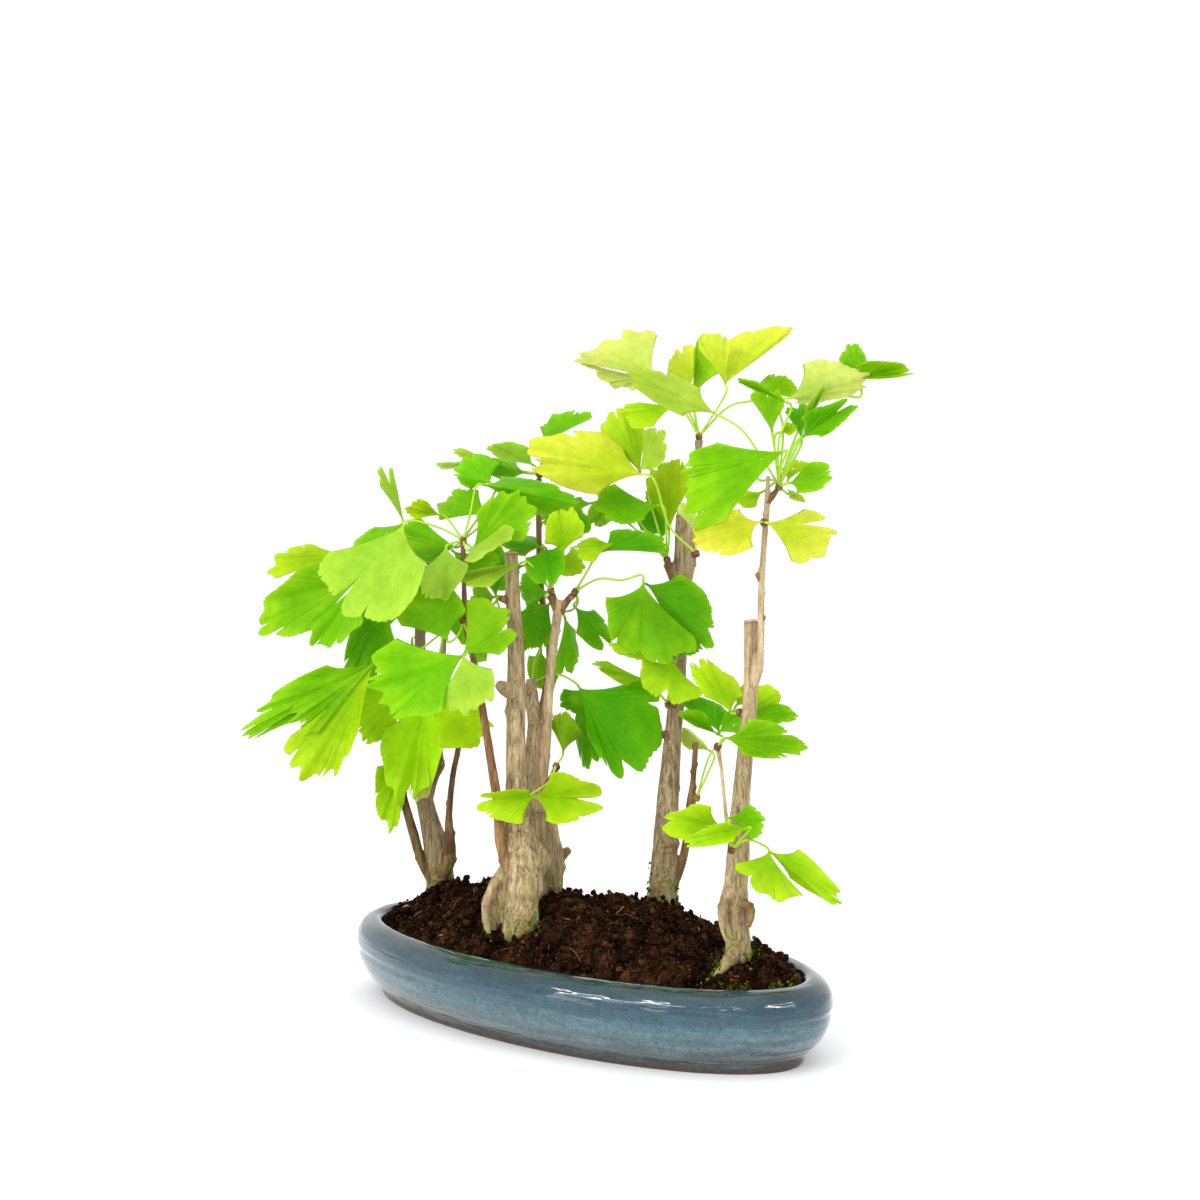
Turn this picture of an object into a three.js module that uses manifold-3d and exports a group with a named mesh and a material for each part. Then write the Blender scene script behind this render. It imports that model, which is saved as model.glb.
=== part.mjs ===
// A ginkgo forest bonsai in its oval glazed tray.
// Millimetres, +Z up.  The tray's long axis is X, its short axis is Y, and the
// origin is the centre of the tray's flat underside.
import * as THREE from 'three';
import { mergeVertices } from 'three/addons/utils/BufferGeometryUtils.js';
import Module from 'manifold-3d';

const wasm = await Module();
wasm.setup();

// ---------------------------------------------------------------- tray
const TRAY_HALF_LENGTH = 149.5;
const TRAY_HALF_WIDTH = 70;
const TRAY_HEIGHT = 43;
const FOOT_INSET = 14.8;
const FOOT_HEIGHT = 4.5;
const RIM_INSET = 15.5;
const FLOOR_TOP = 6.5;
const OVAL_SIDES = 36;
const RIDGE_HALF_WIDTH = 35;
const DRAIN_RADIUS = 7;
const DRAIN_SIDES = 16;
const DRAIN_X = 62;
const SEAT_GAP = 0.3;
const GLAZE = { color: 0x5f8a99, roughness: 0.22 };

// ---------------------------------------------------------------- drainage mesh
const MESH_SIDE = 30;
const MESH_THICKNESS = 1;
const MESH_HOLES = 3;
const MESH_HOLE_SIDE = 5;
const BLACK_PLASTIC = { color: 0x26282a, roughness: 0.6 };

// ---------------------------------------------------------------- soil
const SOIL_EDGE_HEIGHT = 40;
const SOIL_CROWN = 22;
const SOIL_CROWN_POWER = 3;
const SOIL_RINGS = 5;
const SOIL_GAP = 0.42;
const ROLL_HEIGHT = 0.9;
const ROOT_DEPTH = 14;
const ROOT_TAPER = 0.9;
const SOIL = { color: 0x2b1a12, roughness: 0.95 };

// ---------------------------------------------------------------- wood and leaves
const BLADE_THICKNESS = 0.7;
const STALK_HALF = 0.7;
const NECK_WIDENING = 1.3;
const STALK_STEP_LENGTH = 20;
const STALK_APPROACH = 0.12;
const SIDE_REACH = 0.92;
const TRUNK_SIDES = 8;
const TRUNK_WIDTH = 12;
const STEM_SIDES = 5;
const BARK = { color: 0x9b8566, roughness: 0.85 };
const LEAF_ROUGHNESS = 0.55;

// The collar of a whorl is a small octahedron and sits in a socket of the same
// shape, whose faces stand SEAT_GAP clear of it.
const COLLAR_RADIUS = 2.6;
const SOCKET_RADIUS = COLLAR_RADIUS + Math.sqrt(3) * SEAT_GAP;

// ---------------------------------------------------------------- front drawing
// The stems and leaves are set out on a front drawing, an upright square sheet
// DRAWING_SIZE units wide with x to the right and y down, as a viewer at EYE
// sees them.  A third number is the depth in mm in front of the sheet, which
// stands across the line of sight through SHEET_MIDDLE, near the tray's centre.
const DRAWING_SIZE = 1200;
const DRAWING_FOCUS = 2235.4;
const EYE_DISTANCE = 1208.5;
const EYE_AZIMUTH = THREE.MathUtils.degToRad(38.5);
const EYE_ELEVATION = THREE.MathUtils.degToRad(15.8);
const LOOK_AZIMUTH = THREE.MathUtils.degToRad(38.08);
const LOOK_FALL = THREE.MathUtils.degToRad(5.23);

const SHEET_MIDDLE = new THREE.Vector3(-4, 7, 0);
const SKYWARD = new THREE.Vector3(0, 0, 1);
const EYE = new THREE.Vector3(
  Math.cos(EYE_ELEVATION) * Math.sin(EYE_AZIMUTH),
  -Math.cos(EYE_ELEVATION) * Math.cos(EYE_AZIMUTH),
  Math.sin(EYE_ELEVATION),
).multiplyScalar(EYE_DISTANCE).add(SHEET_MIDDLE);
const LOOK = new THREE.Vector3(
  -Math.sin(LOOK_AZIMUTH) * Math.cos(LOOK_FALL),
  Math.cos(LOOK_AZIMUTH) * Math.cos(LOOK_FALL),
  -Math.sin(LOOK_FALL),
);
const RIGHTWARD = new THREE.Vector3().crossVectors(LOOK, SKYWARD).normalize();
const UPWARD = new THREE.Vector3().crossVectors(RIGHTWARD, LOOK);
const SHEET_DISTANCE = SHEET_MIDDLE.clone().sub(EYE).dot(LOOK);

// The point at (x, y) on the drawing, depth mm in front of the sheet.
function place([x, y, depth = 0]) {
  const ray = LOOK.clone();
  ray.addScaledVector(RIGHTWARD, (x - DRAWING_SIZE / 2) / DRAWING_FOCUS);
  ray.addScaledVector(UPWARD, (DRAWING_SIZE / 2 - y) / DRAWING_FOCUS);
  return ray.multiplyScalar(SHEET_DISTANCE - depth).add(EYE);
}

// The length in mm of one drawing unit at a depth.
function unitAt(depth) {
  return (SHEET_DISTANCE - depth) / DRAWING_FOCUS;
}

// ---------------------------------------------------------------- solids
const MERGE_TOLERANCE = 1e-4;

// Corners that lie together are merged, which needs a geometry of positions alone.
function toManifold(geometry) {
  geometry.deleteAttribute('normal');
  geometry.deleteAttribute('uv');
  const merged = mergeVertices(geometry, MERGE_TOLERANCE);
  return new wasm.Manifold(new wasm.Mesh({
    numProp: 3,
    vertProperties: new Float32Array(merged.attributes.position.array),
    triVerts: new Uint32Array(merged.index.array),
  }));
}

function toGeometry(manifold) {
  const mesh = manifold.getMesh();
  const geometry = new THREE.BufferGeometry();
  geometry.setAttribute('position', new THREE.BufferAttribute(new Float32Array(mesh.vertProperties), 3));
  geometry.setIndex(new THREE.BufferAttribute(new Uint32Array(mesh.triVerts), 1));
  geometry.computeVertexNormals();
  return geometry;
}

const group = new THREE.Group();

function addPiece(name, manifold, finish) {
  const material = new THREE.MeshStandardMaterial({ ...finish, metalness: 0 });
  const mesh = new THREE.Mesh(toGeometry(manifold), material);
  mesh.name = name;
  group.add(mesh);
}

const SCATTER_STEP = 12.9898;
const SCATTER_START = 4.1;
const SCATTER_SPREAD = 43758.5453;

// A repeatable number from 0 to 1 for each index.
function scatter(index) {
  const value = Math.sin(index * SCATTER_STEP + SCATTER_START) * SCATTER_SPREAD;
  return value - Math.floor(value);
}

// ---------------------------------------------------------------- oval rings
// Half-axes of the oval that lies inset inside the tray's outline.  Once it is
// RIDGE_HALF_WIDTH wide, both shrink together so that the rings close on a point.
function ovalAxes(inset) {
  const turning = TRAY_HALF_WIDTH - RIDGE_HALF_WIDTH;
  const shrink = inset <= turning ? 1 : (TRAY_HALF_LENGTH - inset) / (TRAY_HALF_LENGTH - turning);
  const used = Math.min(inset, turning);
  return [(TRAY_HALF_LENGTH - used) * shrink, (TRAY_HALF_WIDTH - used) * shrink];
}

function ovalPoint(inset, angle, height) {
  const [a, b] = ovalAxes(inset);
  return new THREE.Vector3(a * Math.cos(angle), b * Math.sin(angle), height);
}

// A round lathe of a profile, pressed into the oval: each [inset, height] turns
// into the ring that lies inset inside the tray's outline.
function ovalLathe(profile, sides) {
  const lathe = new THREE.LatheGeometry(
    profile.map(([inset, height]) => new THREE.Vector2(TRAY_HALF_LENGTH - inset, height)),
    sides,
  );
  const position = lathe.attributes.position;
  for (let i = 0; i < position.count; i += 1) {
    const radius = Math.hypot(position.getX(i), position.getZ(i));
    const angle = Math.atan2(position.getX(i), -position.getZ(i));
    const point = ovalPoint(TRAY_HALF_LENGTH - radius, angle, position.getY(i));
    position.setXYZ(i, point.x, point.y, point.z);
  }
  return lathe;
}

// Turns a geometry inside out where its volume comes out negative.
function facingOut(geometry) {
  const { position } = geometry.attributes;
  const index = geometry.index.array;
  const corner = [new THREE.Vector3(), new THREE.Vector3(), new THREE.Vector3()];
  let volume = 0;
  for (let i = 0; i < index.length; i += 3) {
    corner.forEach((v, k) => v.fromBufferAttribute(position, index[i + k]));
    volume += corner[0].dot(corner[1].clone().cross(corner[2]));
  }
  if (volume < 0) {
    for (let i = 0; i < index.length; i += 3) {
      [index[i], index[i + 1]] = [index[i + 1], index[i]];
    }
  }
  return geometry;
}

// ---------------------------------------------------------------- tray
// The cavity's wall, [inset, height] from under the rim down to the floor's edge.
const CAVITY_WALL = [
  [RIM_INSET, 36],
  [12, 32],
  [10, 26],
  [12.5, 17],
  [17, 10.5],
  [23, FLOOR_TOP],
];

// The whole section, [inset, height] from the middle of the underside.  The belly
// draws in to a small unglazed foot, a shallow groove runs under the thick rim,
// and the rim rolls inward.
const TRAY_PROFILE = [
  [TRAY_HALF_LENGTH, 0],
  [FOOT_INSET, 0],
  [FOOT_INSET - 0.4, FOOT_HEIGHT],
  [FOOT_INSET - 1.6, FOOT_HEIGHT + 1],
  [7.6, 11.5],
  [3.6, 18],
  [1.6, 23.6],
  [1.4, 26.4],
  [0.2, 28.6],
  [0, 32],
  [1.2, 36.6],
  [5, 40.8],
  [10.6, TRAY_HEIGHT],
  [13.8, 42],
  [RIM_INSET, 39.2],
  ...CAVITY_WALL,
  [TRAY_HALF_LENGTH, FLOOR_TOP],
];

// A drain hole's cutter, long enough to pass both faces of the floor.
function drain(side) {
  const bore = new THREE.CylinderGeometry(DRAIN_RADIUS, DRAIN_RADIUS, FLOOR_TOP * 3, DRAIN_SIDES);
  bore.rotateX(Math.PI / 2);
  bore.translate(side * DRAIN_X, 0, 0);
  return toManifold(bore);
}

function makeTray() {
  const tray = toManifold(facingOut(ovalLathe(TRAY_PROFILE, OVAL_SIDES)));
  addPiece('glazed_tray', tray.subtract(drain(-1)).subtract(drain(1)), GLAZE);
}

// ---------------------------------------------------------------- drainage mesh
// A block of the given size whose underside is centred on (x, y, z).
function blockSolid(width, depth, height, x, y, z) {
  const block = new THREE.BoxGeometry(width, depth, height);
  block.translate(x, y, z + height / 2);
  return toManifold(block);
}

// A square plate over a drain hole, pierced by rows of square holes.
function makeDrainMesh(name, side) {
  const base = FLOOR_TOP + SEAT_GAP;
  const pitch = MESH_SIDE / MESH_HOLES;
  let plate = blockSolid(MESH_SIDE, MESH_SIDE, MESH_THICKNESS, side * DRAIN_X, 0, base);
  for (let i = 0; i < MESH_HOLES; i += 1) {
    for (let j = 0; j < MESH_HOLES; j += 1) {
      const x = side * DRAIN_X + (i + 0.5) * pitch - MESH_SIDE / 2;
      const y = (j + 0.5) * pitch - MESH_SIDE / 2;
      const hole = [MESH_HOLE_SIDE, MESH_HOLE_SIDE, MESH_THICKNESS * 3];
      plate = plate.subtract(blockSolid(...hole, x, y, base - MESH_THICKNESS));
    }
  }
  addPiece(name, plate, BLACK_PLASTIC);
}

// ---------------------------------------------------------------- soil
// Soil is heaped up round the trunks: [x, y, height, spread].
const SOIL_HEAPS = [
  [-104, 12, 6, 22],
  [-64, 30, 6, 26],
  [24, 32, 5, 24],
  [-18, -22, 3, 20],
  [112, 5, 6, 17],
];

// Height of the soil: a flat-topped mound that falls to the rim, heaps round the
// trunks, and a low roll that dies away at the rim.
function soilHeight(x, y) {
  const [a, b] = ovalAxes(RIM_INSET);
  const out = Math.min(1, Math.hypot(x / a, y / b));
  const rise = 1 - out ** SOIL_CROWN_POWER;
  let height = SOIL_EDGE_HEIGHT + SOIL_CROWN * rise;
  SOIL_HEAPS.forEach(([hx, hy, lift, spread]) => {
    height += lift * Math.min(1, 2 * rise) * Math.exp(-((x - hx) ** 2 + (y - hy) ** 2) / spread ** 2);
  });
  const roll = Math.sin(x / 4.8 + 1.3) * Math.cos(y / 3.7 - 0.4) + Math.sin(x / 9 - y / 6.2);
  return height + ROLL_HEIGHT * roll * Math.min(1, 3 * (1 - out));
}

// The soil fills the cavity but for a gap all round, makes room for the drainage
// meshes, and has a hole for each trunk, cut by the trunk's own plug.
function makeSoil(plugs) {
  const lining = CAVITY_WALL.map(([inset, height]) => [inset + SOIL_GAP, height + SEAT_GAP]);
  const section = [[TRAY_HALF_LENGTH, FLOOR_TOP + SEAT_GAP], ...lining.reverse()];
  const edge = RIM_INSET + SOIL_GAP;
  for (let ring = 0; ring <= SOIL_RINGS; ring += 1) {
    section.push([edge + (ring * (TRAY_HALF_LENGTH - edge)) / SOIL_RINGS, SOIL_EDGE_HEIGHT]);
  }
  const body = ovalLathe(section, OVAL_SIDES);
  const { position } = body.attributes;
  for (let i = 0; i < position.count; i += 1) {
    if (position.getZ(i) > SOIL_EDGE_HEIGHT - SEAT_GAP) {
      position.setZ(i, soilHeight(position.getX(i), position.getY(i)));
    }
  }
  let soil = toManifold(facingOut(body));
  const clear = MESH_SIDE + 2 * SEAT_GAP;
  const depth = MESH_THICKNESS + 2 * SEAT_GAP;
  [-1, 1].forEach((side) => {
    soil = soil.subtract(blockSolid(clear, clear, depth, side * DRAIN_X, 0, FLOOR_TOP));
  });
  plugs.forEach((plug) => {
    soil = soil.subtract(plug);
  });
  addPiece('soil', soil, SOIL);
}

// ---------------------------------------------------------------- limbs
// A closed round bar carried along a curve: a closed cylinder whose rings are
// moved onto the curve's frames, radiusAt giving the radius from 0 to 1 along.
function limbSolid(curve, radiusAt, sides, steps) {
  const bar = new THREE.CylinderGeometry(1, 1, 1, sides, steps);
  const frames = curve.computeFrenetFrames(steps, false);
  const position = bar.attributes.position;
  for (let i = 0; i < position.count; i += 1) {
    const along = position.getY(i) + 0.5;
    const ring = Math.round(along * steps);
    const point = curve.getPointAt(ring / steps);
    const radius = radiusAt(ring / steps);
    point.addScaledVector(frames.normals[ring], position.getX(i) * radius);
    point.addScaledVector(frames.binormals[ring], position.getZ(i) * radius);
    position.setXYZ(i, point.x, point.y, point.z);
  }
  return toManifold(facingOut(bar));
}

// A stem through drawn points [x, y, depth, width], width in drawing units, and
// extra mm thicker all round.  A rooted stem goes on straight down into the soil.
function stemSolid(points, rooted, sides, extra) {
  const places = points.map((point) => place(point));
  const radii = points.map(([, , depth, width]) => (width * unitAt(depth)) / 2 + extra);
  if (rooted) {
    places.unshift(new THREE.Vector3(places[0].x, places[0].y, ROOT_DEPTH - extra));
    radii.unshift(radii[0] * ROOT_TAPER);
  }
  const curve = new THREE.CatmullRomCurve3(places, false, 'centripetal');
  const lengths = [0];
  for (let i = 1; i < places.length; i += 1) {
    lengths.push(lengths[i - 1] + places[i].distanceTo(places[i - 1]));
  }
  const total = lengths[lengths.length - 1];
  const radiusAt = (along) => {
    const run = along * total;
    let k = 1;
    while (k < lengths.length - 1 && lengths[k] < run) k += 1;
    const share = (run - lengths[k - 1]) / (lengths[k] - lengths[k - 1]);
    return THREE.MathUtils.lerp(radii[k - 1], radii[k], Math.min(1, Math.max(0, share)));
  };
  return limbSolid(curve, radiusAt, sides, Math.max(2, places.length));
}

// ---------------------------------------------------------------- trees
// Each tree is a list of stems: the first is its trunk, which stands in the soil,
// and the rest are grown together with it.  The two-point stems are stubs and the
// pegs that carry a whorl of leaves.
const TREES = {
  // A slim trunk with two shoots from its foot.
  tree_left: [
    [[441, 886, -62, 30], [438, 855, -60, 26], [428, 815, -58, 19], [423, 790, -57, 16],
      [420, 720, -56, 13], [420, 640, -55, 11], [421, 590, -54, 9], [427, 566, -52, 7]],
    [[434, 884, -58, 9], [424, 868, -56, 9], [413, 832, -55, 10], [402, 792, -56, 8],
      [393, 745, -60, 7], [389, 705, -62, 6]],
    [[440, 880, -56, 14], [449, 858, -52, 14], [449, 815, -49, 7], [453, 775, -47, 6],
      [459, 742, -46, 6], [457, 712, -50, 5]],
    [[427, 806, -57, 10], [432, 782, -53, 11], [438, 765, -52, 10], [439, 742, -51, 7],
      [437, 700, -50, 6], [442, 668, -48, 6], [444, 634, -48, 6]],
    [[420.5, 640, -56, 6], [421, 641, -61, 6]],
  ],
  // Two old trunks grown together at the base, a buttress, and the shoots.
  tree_middle: [
    [[521, 934, 28, 38], [521, 905, 25, 34], [522, 880, 21, 44], [520, 850, 18, 38],
      [517, 800, 15, 23], [516, 760, 14, 20], [516, 700, 13, 19], [516, 650, 13, 17],
      [513, 600, 12, 14.5], [511, 552, 12, 13]],
    [[512, 868, 18, 22], [497, 888, 20, 20], [494, 908, 22, 20], [493, 930, 24, 18]],
    [[546, 892, -14, 34], [547, 862, -10, 34], [543, 830, -6, 31], [541, 800, -4, 25]],
    [[538, 866, 4, 32], [528, 850, 12, 30]],
    [[546, 862, -10, 18], [562, 856, -10, 10], [569, 849, -10, 7]],
    [[530, 812, 4, 16], [531, 760, 3, 13], [534, 722, 0, 13], [531, 694, -4, 15], [531, 679, -4, 9]],
    [[532, 740, -1, 9], [543, 700, -8, 6], [549, 660, -12, 6], [546, 622, -14, 6],
      [541, 590, -14, 7], [539, 540, -12, 6], [539, 478, -8, 6]],
    [[537, 812, 3, 15], [545, 745, 4, 12], [548, 700, 4, 10], [552, 655, 4, 9],
      [556, 625, 3, 9], [560, 600, 3, 11]],
    [[558, 614, 3, 8], [551, 594, 4, 9]],
    [[560, 612, 3, 8], [568, 600, 5, 7], [572.5, 595, 7, 6.5]],
    [[509, 872, 26, 12], [501, 845, 26, 11], [497, 800, 25, 10], [490, 755, 24, 9],
      [481, 700, 24, 8], [474, 662, 23, 7], [466, 626, 22, 7], [464, 585, 22, 5], [463, 545, 23, 5.5]],
    [[513, 694, 14, 14], [504, 688, 22, 15], [499, 684, 26, 9]],
    [[510, 602, 12, 7], [500, 598, 17, 7]],
    [[543, 794, 4, 10], [552, 778, 8, 8], [556, 768, 11, 6]],
    [[514, 645, 11, 7], [514, 645, 5, 6]],
    [[541, 573, -14, 5], [541, 573, -18, 5]],
  ],
  // A straight trunk behind, with a long top shoot.
  tree_back: [
    [[663, 890, 4, 29], [664, 868, 3, 27], [668, 800, 0, 22], [672, 745, -3, 18],
      [677, 695, -3, 16.5], [679, 655, -4, 16], [680, 600, -5, 16], [683, 514, -6, 14.5]],
    [[673, 742, -2, 9], [663, 732, 2, 7]],
    [[679, 676, -2, 12], [681, 658, 3, 11]],
    [[677, 592, -5, 8], [671, 574, -5, 8], [667, 563, -5, 9]],
    [[681, 622, -3, 8], [689, 582, -2, 6.5], [692, 557, -2, 9], [692, 520, -4, 5.5],
      [693, 489, -4, 6.5], [698, 454, -4, 6], [699, 440, -4, 9]],
    [[672, 886, 6, 12], [682, 862, 6, 9], [688, 832, 5, 8], [691, 804, 4, 10],
      [693, 782, 4, 6], [696, 742, 4, 6]],
    [[692, 800, 5, 7], [696.5, 797, 8.5, 6]],
    [[676, 704, -1, 8], [668.5, 704, 7, 6]],
    [[692.5, 556, -2, 7], [695.5, 553.5, 1.5, 6]],
  ],
  // A burred trunk cut off above, overtopped by the shoot beside the cut.
  tree_right: [
    [[739, 962, 80, 29], [738, 935, 80, 25], [734, 908, 80, 31], [736, 885, 80, 24],
      [738, 860, 80, 23.5], [741, 800, 79, 19], [745, 755, 78, 16.5], [750, 700, 78, 14.5],
      [751, 620, 78, 14.5]],
    [[738, 948, 82, 18], [729, 966, 84, 13], [722, 978, 85, 9]],
    [[751, 692, 78, 10], [759, 668, 82, 9], [761, 640, 84, 7.5], [761, 600, 84, 7],
      [764, 545, 84, 6], [767, 505, 83, 6.5], [768, 476, 81, 4]],
    [[767, 504, 83, 6], [772, 497, 83, 6.5], [777, 490, 84, 6]],
    [[761, 582, 84, 5], [756, 573, 85, 4.5]],
    [[761, 624, 84, 5], [765, 616, 85, 4]],
    [[736, 856, 84, 8], [731, 843, 90, 5.5], [726, 815, 91, 4.2], [723, 785, 91, 4.4],
      [721, 766, 89, 4], [718, 750, 87, 6]],
    [[750, 720, 77, 7], [742, 714, 74, 5.5]],
    [[731, 846, 90.5, 5.5], [732, 849, 95, 5]],
    [[765.5, 522, 83.5, 6], [764.5, 522, 87, 5]],
  ],
};

function treeSolid(stems, extra) {
  const solids = stems.map((points, index) => {
    const sides = points[0][3] > TRUNK_WIDTH ? TRUNK_SIDES : STEM_SIDES;
    return stemSolid(points, index === 0, sides, extra);
  });
  return solids.reduce((tree, stem) => tree.add(stem));
}

// ---------------------------------------------------------------- leaves
// Leaf colours, from old green to the palest yellow.
const DARK = 0x3f8f0c;
const MID = 0x5ba812;
const FRESH = 0x72b81e;
const LIGHT = 0x92cc40;
const LIME = 0x95cc18;
const STRAW = 0xbfdc30;
const PALE = 0xdcea6c;
const OLIVE = 0x7ba61c;

// Stands for the stalk of a lobe that grows from the leaf before it.
const BARE = null;

// One leaf.  base is where the stalk meets the blade, left, tip and right lie
// on the blade's outer edge, all on the drawing; reach is the blade's true
// length in mm, and lean says how far each of the three comes forward (+) or
// goes back (-) to have that length.  cleft is the depth of the notch and, in a
// pair, its place along the edge.  via are points that the stalk bends through,
// or BARE.
function leaf(base, left, tip, right, reach, lean, cleft, tone, via = []) {
  const leans = Array.isArray(lean) ? lean : [lean, lean, lean];
  const [depth, at] = Array.isArray(cleft) ? cleft : [cleft, 0];
  const root = place(base);
  const edge = [left, tip, right].map(([x, y], k) => {
    const flat = Math.hypot(x - base[0], y - base[1]) * unitAt(base[2]);
    const full = k === 1 ? reach : reach * SIDE_REACH;
    return place([x, y, base[2] + leans[k] * Math.sqrt(Math.max(0, full ** 2 - flat ** 2))]);
  });
  return { root, edge, reach, depth, at, tone, via };
}

const SPRAYS = [];

// The whorl of leaves on one spur, a node of its own.
function spray(name, spur, leaves) {
  SPRAYS.push({ name, spur, leaves });
}

spray('leaves_b_bud', [463, 540, 25], [
  leaf([403, 527, 32], [315, 566], [350, 610], [420, 584], 52, [-0.4, 0.3, 1], [0.35, -0.3],
    LIGHT, [[440, 528, 28]]),
  leaf([456, 547, 16], [412, 517], [398, 540], [424, 562], 32, -0.8, 0.1, MID),
  leaf([446, 548, 30], [416, 582], [438, 597], [467, 572], 29, 0.6, 0, LIGHT),
  leaf([454, 552, 14], [500, 557], [488, 577], [462, 582], 28, -0.3, 0, MID),
  leaf([474, 547, 26], [484, 503], [521, 495], [531, 532], 38, 0.3, 0.1, FRESH),
  leaf([469, 550, 34], [510, 524], [503, 542], [468, 559], 27, 0.7, 0, LIGHT),
  leaf([485, 485, 24], [520, 477], [574, 497], [538, 514], 48, -0.5, 0, DARK, [[470, 515, 25]]),
  leaf([490, 483, 12], [464, 486], [454, 465], [496, 457], 29, -0.6, [0.2, -0.3], MID),
  leaf([486, 514, 8], [472, 488], [445, 497], [437, 517], 29, -0.5, 0, MID),
  leaf([440, 515, 12], [423, 501], [408, 508], [412, 518], 24, 0.7, 0, LIME),
]);

spray('leaves_b_shoot', [463, 621, 26.5], [
  leaf([447, 640, 30], [393, 616], [414, 588], [462, 600], 31, 0.3, 0, FRESH, [[459, 634, 28]]),
  leaf([462, 656, 34], [382, 645], [378, 696], [428, 719], 50, 0.3, 0.1, FRESH, [[469, 640, 31]]),
  leaf([463, 656, 37], [441, 703], [470, 711], [496, 680], 31, 0.4, 0.08, LIGHT, BARE),
  leaf([464, 654, 33], [472, 598], [509, 620], [507, 650], 33, 0.3, [0.2, 0.1], FRESH, BARE),
  leaf([494, 597, 4], [479, 580], [471, 600], [485, 614], 22, -0.5, 0,
    OLIVE, [[475, 619, 24], [488, 610, 12]]),
]);

spray('leaves_b_fork', [551, 590, 7], [
  leaf([521, 563, 24], [480, 568], [461, 578], [482, 588], 38, 0.6, 0, LIGHT, [[540, 577, 16]]),
  leaf([541, 547, 10], [528, 534], [502, 541], [517, 555], 27, -0.6, 0, DARK),
  leaf([543, 549, 14], [524, 566], [549, 584], [564, 552], 27, 0.5, 0.1, DARK),
  leaf([546, 592, -4], [524, 572], [520, 596], [530, 613], 25, -0.7, 0, MID),
  leaf([563, 552, 16], [543, 533], [568, 509], [584, 529], 28, 0.4, 0.1, LIME),
  leaf([564, 556, 8], [577, 549], [584, 570], [564, 577], 20, -0.7, 0.1, LIME),
  leaf([549, 604, -6], [526, 606], [527, 642], [551, 644], 28, 0.12, 0, DARK, [[545, 596, -1]]),
]);

spray('leaves_b_tip', [575.5, 591, 8], [
  leaf([603, 551, 8], [618, 527], [652, 532], [669, 549], 36, -0.3, 0.1, DARK, [[588, 570, 8]]),
  leaf([611, 544, 10], [590, 538], [575, 549], [588, 562], 22, 0.5, 0.2, LIME, BARE),
  leaf([643, 585, 30], [603, 612], [646, 658], [695, 648], 42, 0.2, [0.1, -0.1],
    MID, [[598, 579, 14], [622, 580, 24]]),
  leaf([648, 585, 20], [690, 656], [713, 630], [694, 580], 39, -0.2, 0.1, DARK, BARE),
  leaf([576, 608, -6], [602, 617], [609, 646], [582, 641], 32, -0.4, 0.3, DARK, [[577, 600, 2]]),
  leaf([565, 618, -12], [580, 638], [577, 666], [557, 672], 31, -0.5, 0.1,
    MID, [[578, 602, -1], [572, 610, -8]]),
]);

spray('leaves_b_top', [539, 474, -8], [
  leaf([533, 465, -2], [524, 445], [490, 447], [497, 458], 26, 0.4, 0, LIGHT),
  leaf([526, 473, -10], [506, 459], [478, 461], [500, 480], 28, -0.3, 0, MID),
  leaf([500, 466, -24], [477, 456], [456, 447], [460, 458], 28, -0.4, 0, LIGHT),
  leaf([470, 464, -34], [454, 460], [437, 463], [446, 468], 22, -0.6, 0, LIGHT),
  leaf([546, 443, -14], [539, 424], [552, 416], [593, 412], 28, -0.5, 0, MID),
]);

spray('leaves_b_knob', [533, 682, -10], [
  leaf([580, 689, -5], [594, 750], [632, 770], [659, 690], 52, [0.3, 0.6, -0.2], 0.14,
    DARK, [[556, 674, -5]]),
  leaf([582, 692, -9], [574, 732], [584, 765], [600, 748], 42, -0.2, 0, DARK, BARE),
  leaf([583, 690, -6], [560, 692], [564, 708], [589, 716], 18, -0.4, 0, DARK, BARE),
  leaf([541, 652, -24], [526, 664], [541, 690], [560, 678], 24, -0.4, 0, OLIVE, [[534, 664, -18]]),
]);

spray('leaves_b_low', [556, 766, 12], [
  leaf([563, 752, 2], [551, 722], [563, 713], [581, 730], 22, -0.5, 0, OLIVE),
  leaf([535, 797, 32], [565, 772], [600, 801], [560, 824], 34, 0.3, 0.3, LIME, [[548, 783, 26]]),
  leaf([534, 797, 32], [519, 789], [480, 801], [511, 825], 30, 0.4, 0.3, LIME, BARE),
]);

spray('leaves_d_right', [696, 553, 2.2], [
  leaf([640, 474, 12], [574, 492], [531, 450], [604, 432], 58, -0.3, [0.12, -0.3],
    STRAW, [[670, 527, 4]]),
  leaf([640, 472, 4], [601, 430], [621, 410], [644, 426], 36, -0.4, 0, LIME, BARE),
  leaf([640, 470, 8], [648, 426], [665, 440], [656, 466], 28, 0.5, 0.1, LIGHT, BARE),
  leaf([694, 530, 6], [676, 510], [685, 504], [696, 512], 16, 0.6, 0, PALE),
]);

spray('leaves_d_left', [667, 559.5, -6], [
  leaf([592, 503, -18], [572, 498], [541, 511], [546, 528], 31, -0.3, 0,
    FRESH, [[640, 533, -12], [613, 511, -17]]),
  leaf([669, 530, -26], [645, 488], [666, 463], [692, 471], 38, -0.4, 0.1, LIME),
  leaf([656, 506, -14], [604, 486], [600, 513], [634, 522], 31, 0.3, 0.1, MID),
  leaf([648, 500, -30], [633, 514], [655, 536], [671, 526], 24, -0.6, 0, DARK),
  leaf([611, 506, -36], [590, 506], [592, 526], [612, 521], 20, -0.7, 0.1, OLIVE),
]);

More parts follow.
